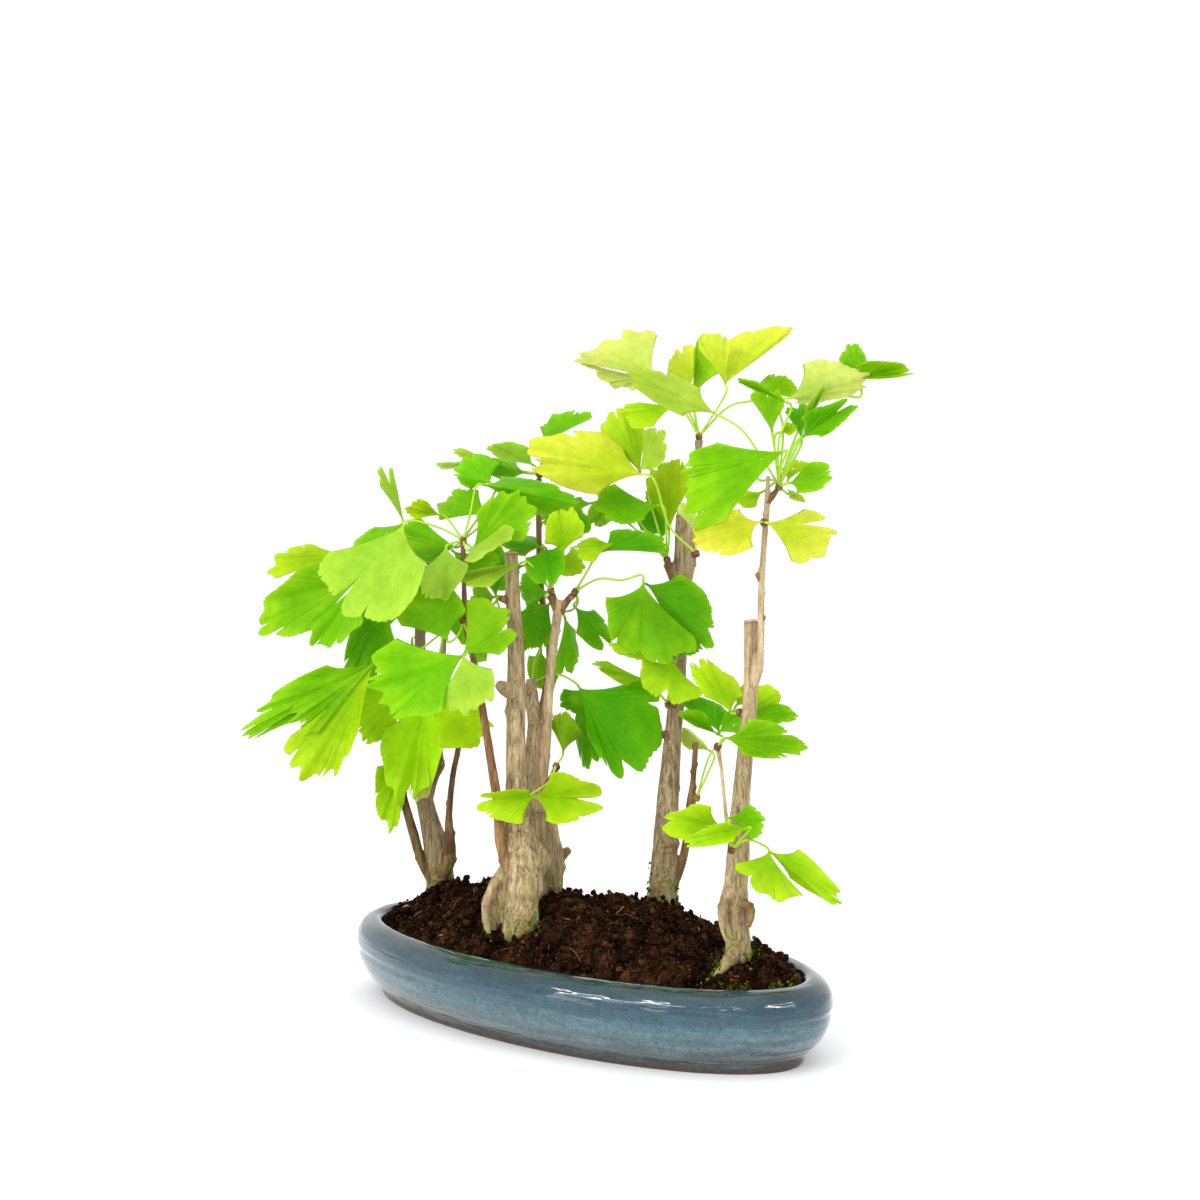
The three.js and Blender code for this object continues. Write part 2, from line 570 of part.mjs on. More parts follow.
spray('leaves_d_top', [699, 436, -4], [
  leaf([674, 406, 6], [643, 429], [624, 413], [631, 402], 30, 0.4, 0, LIME),
  leaf([653, 378, -10], [619, 388], [578, 353], [648, 329], 44, -0.3, [0.12, -0.3], PALE, [[688, 411, -7]]),
  leaf([690, 388, -24], [666, 370], [680, 347], [700, 351], 26, -0.6, 0.15, STRAW),
  leaf([693, 396, -2], [694, 358], [703, 337], [723, 360], 31, 0.3, 0, LIME),
  leaf([725, 383, 6], [697, 342], [713, 335], [729, 341], 30, 0.4, 0, STRAW, [[711, 418, 0]]),
  leaf([725, 383, 4], [729, 341], [789, 330], [757, 357], 44, -0.2, 0, STRAW, BARE),
  leaf([762, 393, -2], [761, 379], [778, 373], [798, 394], 20, -0.5, 0.2, FRESH, [[730, 406, 0]]),
]);

spray('leaves_d_low', [697, 797, 9], [
  leaf([717, 734, 26], [690, 724], [681, 713], [700, 711], 24, 0.6, 0, MID, [[711, 753, 20]]),
  leaf([719, 731, 20], [688, 709], [685, 700], [727, 709], 26, -0.2, 0, DARK, BARE),
  leaf([719, 732, 28], [728, 710], [741, 713], [746, 731], 18, 0.6, 0, FRESH, BARE),
  leaf([710, 751, -4], [683, 745], [684, 728], [700, 737], 22, -0.6, 0, PALE, [[707, 775, 2]]),
]);

spray('leaves_d_knob', [668, 704, 8], [
  leaf([674, 663, 20], [640, 664], [652, 692], [701, 697], 31, 0.3, [0.3, 0.3], LIME, [[657, 686, 14]]),
  leaf([646, 680, 6], [600, 661], [596, 668], [620, 684], 28, -0.2, 0.12, OLIVE, [[658, 692, 8]]),
  leaf([663, 654, 12], [618, 642], [613, 650], [640, 661], 28, -0.2, 0, LIME),
]);

spray('leaves_e_top', [779, 486, 85], [
  leaf([772, 431, 86], [749, 394], [766, 391], [784, 399], 24, 0.5, 0.15, FRESH),
  leaf([783, 401, 92], [751, 379], [741, 381], [748, 388], 27, 0.7, 0, FRESH, [[779, 440, 88]]),
  leaf([782, 432, 79], [786, 422], [797, 427], [792, 435], 9, 0.3, 0, LIME),
  leaf([791, 398, 66], [822, 359], [867, 384], [812, 404], 42, -0.2, 0.1, PALE, [[783, 430, 74]]),
  leaf([802, 436, 86], [811, 402], [829, 384], [818, 403], 33, 0.5, 0, LIGHT),
  leaf([803, 437, 96], [812, 409], [853, 405], [833, 431], 35, 0.3, [0.3, -0.2], DARK),
  leaf([801, 437, 78], [785, 409], [798, 405], [811, 404], 21, -0.5, 0.1, DARK),
  leaf([858, 379, 56], [839, 362], [852, 343], [867, 357], 20, -0.3, 0.1,
    FRESH, [[796, 436, 66], [820, 392, 54]]),
  leaf([855, 378, 60], [868, 360], [911, 372], [880, 379], 31, 0.3, 0.1, FRESH, BARE),
  leaf([790, 483, 94], [813, 460], [831, 474], [806, 493], 26, 0.4, 0.1, FRESH),
  leaf([788, 480, 74], [782, 465], [797, 460], [810, 463], 18, -0.6, 0, LIME),
  leaf([788, 494, 84], [791, 490], [807, 501], [793, 500], 12, -0.6, 0, LIME),
  leaf([782, 452, 100], [700, 447], [687, 490], [708, 530], 54, 0.2, 0.1, LIME, [[780, 470, 94]]),
  leaf([757, 478, 74], [752, 467], [731, 455], [713, 460], 27, -0.4, 0, LIME, [[773, 480, 77]]),
  leaf([762, 492, 76], [752, 508], [736, 503], [740, 492], 20, -0.5, 0, LIME, [[774, 483, 76.5]]),
  leaf([714, 413, 60], [664, 408], [630, 371], [682, 377], 49, -0.2, 0.08,
    LIGHT, [[762, 458, 72], [742, 430, 66]]),
]);

spray('leaves_e_shoot', [764, 522, 88], [
  leaf([758, 522, 92], [726, 511], [694, 537], [738, 555], 36, 0.2, 0.1, STRAW),
  leaf([768, 523, 92], [816, 511], [831, 538], [803, 564], 36, -0.2, [0.4, -0.45], STRAW),
]);

spray('leaves_e_trunk', [740, 712, 73], [
  leaf([731, 712, 66], [697, 687], [697, 661], [739, 684], 36, -0.3, 0.12, LIME),
  leaf([736, 706, 56], [738, 690], [750, 683], [764, 700], 20, -0.7, 0, LIME),
  leaf([745, 712, 54], [765, 684], [781, 696], [776, 708], 24, -0.5, 0, LIME),
  leaf([746, 714, 52], [779, 703], [797, 718], [768, 723], 29, 0.2, 0.1, FRESH),
]);

spray('leaves_e_twig', [718, 746, 90], [
  leaf([726, 738, 98], [766, 720], [803, 751], [757, 758], 40, 0.2, [0.25, 0.35], FRESH),
]);

spray('leaves_e_low', [732, 849, 96], [
  leaf([720, 826, 102], [700, 804], [666, 822], [680, 841], 29, 0.3, 0.1, LIME),
  leaf([747, 828, 108], [716, 824], [686, 844], [722, 845], 32, 0.3, 0.1, LIME),
  leaf([730, 818, 98], [753, 806], [764, 823], [755, 840], 18, 0.5, 0.15, FRESH, [[733, 834, 99]]),
  leaf([769, 853, 92], [736, 869], [768, 890], [800, 899], 34, 0.6, 0, LIME, [[747, 840, 98]]),
  leaf([770, 852, 88], [803, 888], [839, 901], [813, 859], 42, -0.2, 0, LIME, BARE),
]);

spray('leaves_a_top', [428, 561, -50], [
  leaf([345, 556, -38], [302, 542], [279, 556], [269, 577], 42, -0.2, 0, LIME, [[395, 550, -44]]),
  leaf([360, 578, -26], [296, 570], [262, 624], [303, 634], 54, 0.2, 0, FRESH, [[400, 565, -36]]),
  leaf([361, 580, -22], [308, 632], [325, 643], [357, 629], 40, 0.4, 0, FRESH, BARE),
  leaf([403, 521, -24], [378, 479], [389, 468], [398, 488], 34, [0.6, 0, -0.6], 0.45,
    LIGHT, [[385, 540, -32]]),
  leaf([402, 524, -40], [364, 532], [350, 556], [375, 575], 32, -0.5, 0, FRESH),
]);

spray('leaves_a_twig', [444, 631, -46], [
  leaf([388, 592, -30], [355, 618], [348, 680], [390, 665], 50, -0.2, 0, DARK, [[420, 605, -36]]),
  leaf([372, 665, -14], [303, 675], [252, 726], [266, 732], 74, 0.1, 0, LIME, [[410, 655, -22]]),
  leaf([372, 666, -12], [288, 752], [316, 774], [352, 748], 61, 0.3, 0, LIME, BARE),
  leaf([430, 697, -20], [477, 708], [487, 729], [447, 751], 33, 0.3, 0.08, FRESH, [[436, 665, -30]]),
]);

spray('leaves_a_back', [421, 641, -62], [
  leaf([412, 642, -80], [393, 692], [412, 708], [437, 690], 35, -0.3, 0, MID),
  leaf([440, 620, -84], [468, 600], [482, 622], [470, 646], 28, -0.4, 0, FRESH),
  leaf([403, 614, -86], [382, 590], [366, 610], [378, 632], 30, -0.4, 0.1, DARK),
]);

spray('leaves_c_back', [541, 573, -18.5], [
  leaf([522, 566, -38], [494, 550], [488, 574], [503, 592], 28, -0.4, 0, MID),
  leaf([560, 548, -42], [550, 514], [573, 505], [592, 524], 32, -0.4, 0.1, DARK),
  leaf([531, 604, -40], [507, 624], [519, 648], [543, 641], 30, -0.3, 0, DARK),
]);

spray('leaves_b_back', [514, 645, 4.5], [
  leaf([494, 632, -16], [470, 622], [466, 648], [482, 664], 26, -0.4, 0, MID),
  leaf([496, 596, -22], [474, 566], [484, 546], [509, 556], 32, -0.3, 0.1, DARK, [[506, 620, -10]]),
]);

spray('leaves_d_back', [685, 541, -11], [
  leaf([672, 500, -52], [646, 488], [655, 466], [684, 470], 30, -0.4, 0.1, MID),
  leaf([700, 512, -46], [694, 486], [714, 478], [728, 498], 26, -0.4, 0, FRESH),
]);

spray('leaves_a_left', [389, 702, -60], [
  leaf([408, 687, -46], [364, 680], [352, 723], [384, 744], 38, 0.3, 0.1, LIME),
  leaf([427, 694, -34], [380, 748], [405, 798], [444, 752], 55, 0.2, 0.08, LIME, [[402, 690, -50]]),
  leaf([405, 748, -50], [373, 783], [390, 827], [404, 802], 42, 0.2, 0, LIME, [[400, 720, -56]]),
  leaf([432, 742, -44], [411, 785], [420, 799], [433, 785], 30, 0.1, 0, PALE, [[412, 718, -50]]),
]);

// ---------------------------------------------------------------- blades
const BLADE_DIVISIONS = [[30, 6], [44, 8], [Infinity, 10]];
const ONE_STEP_REACH = 50;
const MIDWAY = 0.55;
const CLEFT_HALF_WIDTH = 0.09;
const CORNER_ROUNDING = 0.15;
const FULLNESS = 1.1;
const WAIST = 0.82;
const EDGE_WAVE = 0.022;
const EDGE_RIPPLE = 0.016;
const DROOP = 0.06;
const CUP = 0.05;
const FLUTTER = 0.035;
const TURN = 2 * Math.PI;

// The even curve's weights for left, tip and right at s from -1 to 1.
function evenWeights(s) {
  return [(s * (s - 1)) / 2, 1 - s * s, (s * (s + 1)) / 2];
}

// Outer edge as a share of the reach: rounded corners, one notch, a low wave.
function rimShare(side, blade, seed) {
  const corner = 1 - CORNER_ROUNDING * side ** 6;
  const notch = 1 - blade.depth * Math.exp(-(((side - blade.at) / CLEFT_HALF_WIDTH) ** 2));
  const wave = EDGE_WAVE * Math.sin(9 * side + TURN * seed);
  const ripple = EDGE_RIPPLE * Math.sin(17 * side + 2 * TURN * seed);
  return corner * notch * (1 + wave + ripple);
}

// The point of a blade's middle sheet, side from -1 to 1 across the fan and out
// from 0 at the stalk to 1 at the edge.  The edge turns evenly from left over
// tip to right, its distance from the root too; the blade droops and ripples.
function bladePoint(blade, face, seed, side, out) {
  const weights = evenWeights(FULLNESS * side * (WAIST + (1 - WAIST) * out));
  const heading = new THREE.Vector3();
  let length = 0;
  blade.edge.forEach((corner, k) => {
    const spoke = corner.clone().sub(blade.root);
    heading.addScaledVector(spoke, weights[k]);
    length += spoke.length() * weights[k];
  });
  const run = length * out * rimShare(side, blade, seed);
  const flutter = FLUTTER * Math.sin(4.4 * side + TURN * seed);
  const bend = (CUP * side * side - DROOP + flutter) * out * out;
  const point = blade.root.clone().addScaledVector(heading.normalize(), run);
  return point.addScaledVector(face, bend * blade.reach);
}

// The blade's upper side, square to it.
function bladeFace(blade) {
  const [left, tip, right] = blade.edge;
  const across = right.clone().sub(left);
  const along = tip.clone().sub(blade.root);
  const face = along.cross(across).normalize();
  const upFront = SKYWARD.clone().sub(LOOK);
  return face.dot(upFront) < 0 ? face.negate() : face;
}

// The places across the fan where its triangles divide, with a corner on the
// floor of a notch and on either lip of it.
function bladeSides(blade) {
  const divisions = BLADE_DIVISIONS.find(([limit]) => blade.reach < limit)[1];
  const sides = [];
  if (blade.depth < 0.1) {
    for (let i = 0; i <= divisions; i += 1) sides.push(-1 + (2 * i) / divisions);
    return sides;
  }
  const half = divisions / 2 - 1;
  for (let i = 0; i <= half; i += 1) {
    sides.push(-1 + ((blade.at - CLEFT_HALF_WIDTH + 1) * i) / half);
  }
  sides.push(blade.at);
  for (let i = 0; i <= half; i += 1) {
    sides.push(blade.at + CLEFT_HALF_WIDTH + ((1 - blade.at - CLEFT_HALF_WIDTH) * i) / half);
  }
  return sides;
}

// ---------------------------------------------------------------- leaf with stalk
// The stalk's four-cornered rings from its foot to the blade's root, where the
// last ring is as thin as the blade.
function stalkRings(curve, steps, across, face) {
  const rings = [];
  const side = across.clone();
  for (let k = steps; k >= 0; k -= 1) {
    const tangent = curve.getTangentAt(k / steps);
    side.addScaledVector(tangent, -side.dot(tangent)).normalize();
    const lift = new THREE.Vector3().crossVectors(side, tangent).normalize();
    if (k === steps && lift.dot(face) < 0) {
      side.negate();
      lift.negate();
    }
    const centre = curve.getPointAt(k / steps);
    const halfWidth = k === steps ? STALK_HALF * NECK_WIDENING : STALK_HALF;
    const halfLift = k === steps ? BLADE_THICKNESS / 2 : STALK_HALF;
    const corners = [[-1, 1], [1, 1], [1, -1], [-1, -1]];
    rings.unshift(corners.map(([u, v]) => {
      const corner = centre.clone().addScaledVector(side, u * halfWidth);
      return corner.addScaledVector(lift, v * halfLift);
    }));
  }
  return rings;
}

// One leaf as a closed body: a stalk along the curve, then the blade's two like
// sheets of triangles and the wall round them.
function leafSolid(blade, seed, curve, steps) {
  const face = bladeFace(blade);
  const across = blade.edge[2].clone().sub(blade.edge[0]).normalize();
  const rings = stalkRings(curve, steps, across, face);
  const neck = rings[steps];
  const turned = neck[1].clone().sub(neck[0]).dot(across) < 0;
  const sides = bladeSides(blade);
  if (turned) sides.reverse();
  const outs = blade.reach < ONE_STEP_REACH ? [1] : [MIDWAY, 1];
  const positions = [];
  const index = [];
  const push = (point) => positions.push(point.x, point.y, point.z) / 3 - 1;
  const quad = (a, b, c, d) => index.push(a, b, c, a, c, d);
  const ringAt = rings.map((ring) => ring.map(push));
  quad(...ringAt[0]);
  for (let k = 0; k < steps; k += 1) {
    for (let c = 0; c < 4; c += 1) {
      const d = (c + 1) % 4;
      quad(ringAt[k][d], ringAt[k][c], ringAt[k + 1][c], ringAt[k + 1][d]);
    }
  }
  const end = ringAt[steps];
  const sheets = [BLADE_THICKNESS / 2, -BLADE_THICKNESS / 2].map((lift) => outs.map(
    (out) => sides.map((side) => push(bladePoint(blade, face, seed, side, out).addScaledVector(face, lift))),
  ));
  const middle = Math.floor(sides.length / 2);
  const last = sides.length - 1;
  sheets.forEach((sheet, s) => {
    const [near, far] = s === 0 ? [end[0], end[1]] : [end[3], end[2]];
    const tri = (a, b, c) => index.push(...(s === 0 ? [a, b, c] : [a, c, b]));
    for (let i = 0; i < last; i += 1) tri(i < middle ? near : far, sheet[0][i], sheet[0][i + 1]);
    tri(near, sheet[0][middle], far);
    for (let r = 1; r < sheet.length; r += 1) {
      for (let i = 0; i < last; i += 1) {
        tri(sheet[r - 1][i], sheet[r][i], sheet[r][i + 1]);
        tri(sheet[r - 1][i], sheet[r][i + 1], sheet[r - 1][i + 1]);
      }
    }
  });
  const [top, under] = sheets;
  const outer = outs.length - 1;
  const border = (sheet, first, second) => [
    first, ...sheet.map((row) => row[0]), ...sheet[outer].slice(1, last),
    ...sheet.map((row) => row[last]).reverse(), second,
  ];
  const upper = border(top, end[0], end[1]);
  const lower = border(under, end[3], end[2]);
  for (let k = 0; k < upper.length - 1; k += 1) quad(upper[k + 1], upper[k], lower[k], lower[k + 1]);
  const geometry = new THREE.BufferGeometry();
  geometry.setAttribute('position', new THREE.BufferAttribute(new Float32Array(positions), 3));
  geometry.setIndex(index);
  return toManifold(facingOut(geometry));
}

// The curve of a stalk from its foot through its via points into the blade
// along the blade's own line.
function stalkCurve(foot, blade, via) {
  const into = blade.edge[1].clone().sub(blade.root).normalize();
  const approach = blade.root.clone().addScaledVector(into, -blade.root.distanceTo(foot) * STALK_APPROACH);
  const points = [foot, ...via.map((point) => place(point)), approach, blade.root];
  return new THREE.CatmullRomCurve3(points, false, 'centripetal');
}

function collarSolid(centre, radius) {
  const knob = new THREE.OctahedronGeometry(radius, 0);
  knob.translate(centre.x, centre.y, centre.z);
  return toManifold(knob);
}

function averageTone(leaves) {
  const sum = new THREE.Color(0, 0, 0);
  leaves.forEach((blade) => sum.add(new THREE.Color(blade.tone)));
  return sum.multiplyScalar(1 / leaves.length);
}

let leafCount = 0;

// The leaves of a whorl grown together with the collar that they spring from.
function spraySolid({ spur, leaves }) {
  const centre = place(spur);
  let whole = collarSolid(centre, COLLAR_RADIUS);
  leaves.forEach((blade, index) => {
    leafCount += 1;
    const lobe = blade.via === BARE;
    const foot = lobe ? leaves[index - 1].root : centre;
    const via = lobe ? [] : blade.via;
    const curve = stalkCurve(foot, blade, via);
    const steps = lobe ? 1 : 1 + via.length + Math.floor(curve.getLength() / STALK_STEP_LENGTH);
    whole = whole.add(leafSolid(blade, scatter(leafCount), curve, steps));
  });
  return whole;
}

// ---------------------------------------------------------------- assembly
makeTray();
makeDrainMesh('drain_mesh_left', -1);
makeDrainMesh('drain_mesh_right', 1);
makeSoil(Object.values(TREES).map((stems) => treeSolid(stems, SEAT_GAP)));

const sockets = SPRAYS.map(({ spur }) => collarSolid(place(spur), SOCKET_RADIUS));
Object.entries(TREES).forEach(([name, stems]) => {
  const tree = sockets.reduce((wood, socket) => wood.subtract(socket), treeSolid(stems, 0));
  addPiece(name, tree, BARK);
});
SPRAYS.forEach((whorl) => {
  const finish = { color: averageTone(whorl.leaves), roughness: LEAF_ROUGHNESS };
  addPiece(whorl.name, spraySolid(whorl), finish);
});

export default group;
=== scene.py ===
"""Ginkgo forest bonsai in its oval glazed tray: four clumps of trunks, their
fan leaves, the soil they stand in and the tray.

Sizes inside the classes are millimetres, as a potter or a grower gives them,
and are turned to metres once, when a mesh is written.
"""
import itertools
import logging
import math
from dataclasses import dataclass, field
from enum import Enum
from typing import Sequence

import bpy
import numpy as np
from mathutils import Matrix


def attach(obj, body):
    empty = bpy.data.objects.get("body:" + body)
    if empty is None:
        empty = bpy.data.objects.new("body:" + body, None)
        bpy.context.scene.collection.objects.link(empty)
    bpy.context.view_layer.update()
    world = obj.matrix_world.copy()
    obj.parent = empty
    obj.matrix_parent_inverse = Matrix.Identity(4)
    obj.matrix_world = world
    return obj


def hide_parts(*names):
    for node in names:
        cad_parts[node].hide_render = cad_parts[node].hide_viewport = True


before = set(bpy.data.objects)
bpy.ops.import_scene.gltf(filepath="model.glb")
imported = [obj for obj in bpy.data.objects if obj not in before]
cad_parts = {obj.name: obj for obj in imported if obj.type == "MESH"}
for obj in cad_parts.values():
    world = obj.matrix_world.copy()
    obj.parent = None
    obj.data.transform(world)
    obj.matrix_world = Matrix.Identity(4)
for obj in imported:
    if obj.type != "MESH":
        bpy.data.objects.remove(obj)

Array = np.ndarray
Socket, Finish, Piece = bpy.types.NodeSocket, bpy.types.Material, bpy.types.Object
Rows = tuple[tuple[float, ...], ...]
Paths = list[tuple[Array, Array]]
LOG = logging.getLogger("ginkgo_bonsai")
MM = 0.001
UP = np.array([0.0, 0.0, 1.0])
LATTICE_SHIFT = 17.31
LATTICE_PRIMES = (73856093, 19349663, 83492791)
SEED_FACTOR = 40503
MIXING_FACTOR = 1274126177
SPAN_SAMPLES = 24


# ---------------------------------------------------------------- numbers
def linear(hex_code: str) -> tuple[float, float, float, float]:
    """Turns an sRGB hex colour into linear red, green, blue and full opacity.

    Args:
        hex_code: The colour as # and six hex digits.

    Returns:
        The linear colour.
    """
    srgb = np.array([int(hex_code[i:i + 2], 16) for i in (1, 3, 5)]) / 255.0
    values = np.where(srgb <= 0.04045, srgb / 12.92, ((srgb + 0.055) / 1.055) ** 2.4)
    return (float(values[0]), float(values[1]), float(values[2]), 1.0)


def shade(hex_code: str) -> Array:
    """The same colour as an array of three linear values, for mixing per vertex."""
    return np.array(linear(hex_code)[:3])


def unit(vectors: Array) -> Array:
    """Scales every vector of the last axis to length one."""
    return vectors / np.maximum(np.linalg.norm(vectors, axis=-1, keepdims=True), 1e-12)


def ease(low: float, high: float, values: Array) -> Array:
    """An S curve that is 0 at low and 1 at high: 3 t^2 - 2 t^3, t being the share of the way."""
    t = np.clip((values - low) / (high - low), 0.0, 1.0)
    return t * t * (3.0 - 2.0 * t)


def mix(first: Array, second: Array, share: Array) -> Array:
    """Blends two colours per vertex, share being how much of the second."""
    amount = np.asarray(share)[..., None]
    return first * (1.0 - amount) + second * amount


def noise(points: Array, size: float | Sequence[float], seed: int) -> Array:
    """Smooth noise from -1 to 1: random values on a lattice, eased between its corners.

    Args:
        points: Positions in mm, the last axis being x, y, z.
        size: The lattice spacing in mm, one number or one per axis.
        seed: Picks another pattern.

    Returns:
        One value per position.
    """
    scaled = points / np.asarray(size, float) + seed * LATTICE_SHIFT
    cell = np.floor(scaled).astype(np.int64)
    eased = scaled - cell
    eased = eased * eased * (3.0 - 2.0 * eased)
    total = np.zeros(points.shape[:-1])
    for corner in itertools.product((0, 1), repeat=3):
        key = (cell + corner) * np.array(LATTICE_PRIMES)
        mark = key[..., 0] ^ key[..., 1] ^ key[..., 2] ^ (seed * SEED_FACTOR)
        mark = (mark ^ (mark >> 13)) * MIXING_FACTOR
        value = ((mark ^ (mark >> 16)) & 0xFFFF) / 32767.5 - 1.0
        total += value * np.prod(np.where(corner, eased, 1.0 - eased), axis=-1)
    return total


def circle(count: int) -> Array:
    """Angles spread evenly round a circle, from 0."""
    return np.linspace(0.0, 2 * np.pi, count, endpoint=False)


def level(x: Array, y: Array) -> Array:
    """Places at height 0, for noise that doesn't change with the height."""
    return np.stack([x, y, np.zeros_like(x)], axis=-1)


def bearing(azimuth: float, elevation: float) -> Array:
    """The direction to what stands at an azimuth, 0 being the front, and an elevation, in degrees.

    Args:
        azimuth: The angle from the front, over the right.
        elevation: The angle above the floor.

    Returns:
        A direction of length one.
    """
    turn, rise = math.radians(azimuth), math.radians(elevation)
    flat = math.cos(rise)
    return np.array([flat * math.sin(turn), -flat * math.cos(turn), math.sin(rise)])


def scatter(index: int) -> float:
    """A repeatable number from 0 to 1 for each index."""
    value = math.sin(index * 12.9898 + 4.1) * 43758.5453
    return value - math.floor(value)


# ---------------------------------------------------------------- surfaces
@dataclass
class Surface:
    """A mesh in the making: points in mm, faces, and named values per point."""

    points: Array
    quads: Array = field(default_factory=lambda: np.zeros((0, 4), int))
    tris: Array = field(default_factory=lambda: np.zeros((0, 3), int))
    marks: dict[str, Array] = field(default_factory=dict)
    slot: int = 0


def join(parts: Sequence[Surface]) -> tuple[Surface, Array]:
    """Puts surfaces into one, keeping which material slot each face takes.

    Args:
        parts: Surfaces that hold the same marks.

    Returns:
        The joined surface, and the slot of every face, quads before triangles.
    """
    starts = np.cumsum([0] + [len(part.points) for part in parts])[:-1]
    quads = np.vstack([part.quads + start for part, start in zip(parts, starts)])
    tris = np.vstack([part.tris + start for part, start in zip(parts, starts)])
    marks = {key: np.concatenate([part.marks[key] for part in parts]) for key in parts[0].marks}
    slots = np.concatenate(
        [np.full(len(part.quads), part.slot) for part in parts]
        + [np.full(len(part.tris), part.slot) for part in parts]
    )
    return Surface(np.vstack([part.points for part in parts]), quads, tris, marks), slots


def ring_quads(rows: int, columns: int, closed: bool = True) -> Array:
    """Quads of a grid of points held row by row.

    Args:
        rows: How many rows the grid has.
        columns: How many points a row has.
        closed: Whether each row's end is joined to its start.

    Returns:
        Four point numbers for each quad.
    """
    row = np.arange(rows - 1)[:, None]
    column = np.arange(columns if closed else columns - 1)[None, :]
    after = (column + 1) % columns
    corners = [row * columns + column, row * columns + after,
               (row + 1) * columns + after, (row + 1) * columns + column]
    return np.stack(np.broadcast_arrays(*corners), axis=-1).reshape(-1, 4)


def capped(rings: Array, ends: Sequence[Array]) -> Surface:
    """A closed body from rings of points, with a fan of triangles round a pole at each end.

    Args:
        rings: Points in mm by ring and by place round the ring.
        ends: The pole at the first ring and the pole at the last.

    Returns:
        The closed surface, its poles being its last two points.
    """
    count, sides = rings.shape[:2]
    total = count * sides
    here = np.arange(sides)
    after, last = (here + 1) % sides, total - sides
    fans = np.vstack([np.stack([np.full(sides, total), after, here], axis=-1),
                      np.stack([np.full(sides, total + 1), last + here, last + after], axis=-1)])
    return Surface(np.vstack([rings.reshape(-1, 3), *ends]), ring_quads(count, sides), fans)


def write_mesh(name: str, surface: Surface, finishes: Sequence[Finish], slots: Array | None = None) -> Piece:
    """Writes a surface as a Blender object at the origin, in metres.

    Args:
        name: The object's name.
        surface: Points, faces and marks; a mark of three columns becomes a vector.
        finishes: Materials, one per slot.
        slots: The material slot of each face; all 0 where it is left out.

    Returns:
        The object, linked into the scene.
    """
    mesh = bpy.data.meshes.new(name)
    loops = np.concatenate([surface.quads.ravel(), surface.tris.ravel()]).astype(np.int32)
    sizes = np.concatenate([np.full(len(surface.quads), 4), np.full(len(surface.tris), 3)])
    mesh.vertices.add(len(surface.points))
    mesh.vertices.foreach_set("co", (surface.points * MM).astype(np.float32).ravel())
    mesh.loops.add(len(loops))
    mesh.loops.foreach_set("vertex_index", loops)
    mesh.polygons.add(len(sizes))
    mesh.polygons.foreach_set("loop_start", (np.cumsum(sizes) - sizes).astype(np.int32))
    if slots is not None:
        mesh.polygons.foreach_set("material_index", slots.astype(np.int32))
    mesh.update(calc_edges=True)
    for key, values in surface.marks.items():
        kind = "FLOAT" if values.ndim == 1 else "FLOAT_VECTOR"
        layer = mesh.attributes.new(key, kind, "POINT")
        layer.data.foreach_set("value" if values.ndim == 1 else "vector", values.astype(np.float32).ravel())
    mesh.shade_smooth()
    for finish in finishes:
        mesh.materials.append(finish)
    piece = bpy.data.objects.new(name, mesh)
    bpy.context.scene.collection.objects.link(piece)
    return piece


def settle(piece: Piece) -> tuple[Array, Array, Array]:
    """Takes a piece's mesh as its modifiers leave it, then removes the piece.

    Args:
        piece: An object whose modifiers leave only quads.

    Returns:
        Points in mm, outward normals at the points, and quads.
    """
    graph = bpy.context.evaluated_depsgraph_get()
    mesh = bpy.data.meshes.new_from_object(piece.evaluated_get(graph))
    points = np.empty(len(mesh.vertices) * 3, np.float32)
    mesh.vertices.foreach_get("co", points)
    normals = np.empty_like(points)
    mesh.vertex_normals.foreach_get("vector", normals)
    corners = np.empty(len(mesh.loops), np.int32)
    mesh.loops.foreach_get("vertex_index", corners)
    bpy.data.objects.remove(piece)
    return points.reshape(-1, 3) / MM, normals.reshape(-1, 3).astype(float), corners.reshape(-1, 4)


def smooth_path(points: Array, spacing: float) -> Array:
    """A centripetal Catmull-Rom curve through points, sampled evenly along its length.

    Each span is a Hermite curve whose end tangents come from the neighbouring
    points, timed by the square root of the distances.

    Args:
        points: The points that the curve passes through, in mm.
        spacing: The greatest distance between samples, in mm.

    Returns:
        The sampled points, the two ends among them.
    """
    line = np.vstack([2 * points[0] - points[1], points, 2 * points[-1] - points[-2]])
    times = np.sqrt(np.linalg.norm(np.diff(line, axis=0), axis=1))[:, None]
    before, here, after = times[:-2], times[1:-1], times[2:]
    p0, p1, p2, p3 = line[:-3], line[1:-2], line[2:-1], line[3:]
    leaving = ((p1 - p0) / before - (p2 - p0) / (before + here) + (p2 - p1) / here) * here
    arriving = ((p2 - p1) / here - (p3 - p1) / (here + after) + (p3 - p2) / after) * here
    t = np.linspace(0.0, 1.0, SPAN_SAMPLES, endpoint=False)[None, :, None]
    p1, p2, leaving, arriving = (part[:, None] for part in (p1, p2, leaving, arriving))
    dense = (p1 * (2 * t ** 3 - 3 * t ** 2 + 1) + leaving * (t ** 3 - 2 * t ** 2 + t)
             + p2 * (3 * t ** 2 - 2 * t ** 3) + arriving * (t ** 3 - t ** 2)).reshape(-1, 3)
    dense = np.vstack([dense, points[-1]])
    run = np.concatenate([[0.0], np.cumsum(np.linalg.norm(np.diff(dense, axis=0), axis=1))])
    even = np.linspace(0.0, run[-1], max(3, int(run[-1] / spacing) + 2))
    return np.stack([np.interp(even, run, dense[:, axis]) for axis in range(3)], axis=-1)


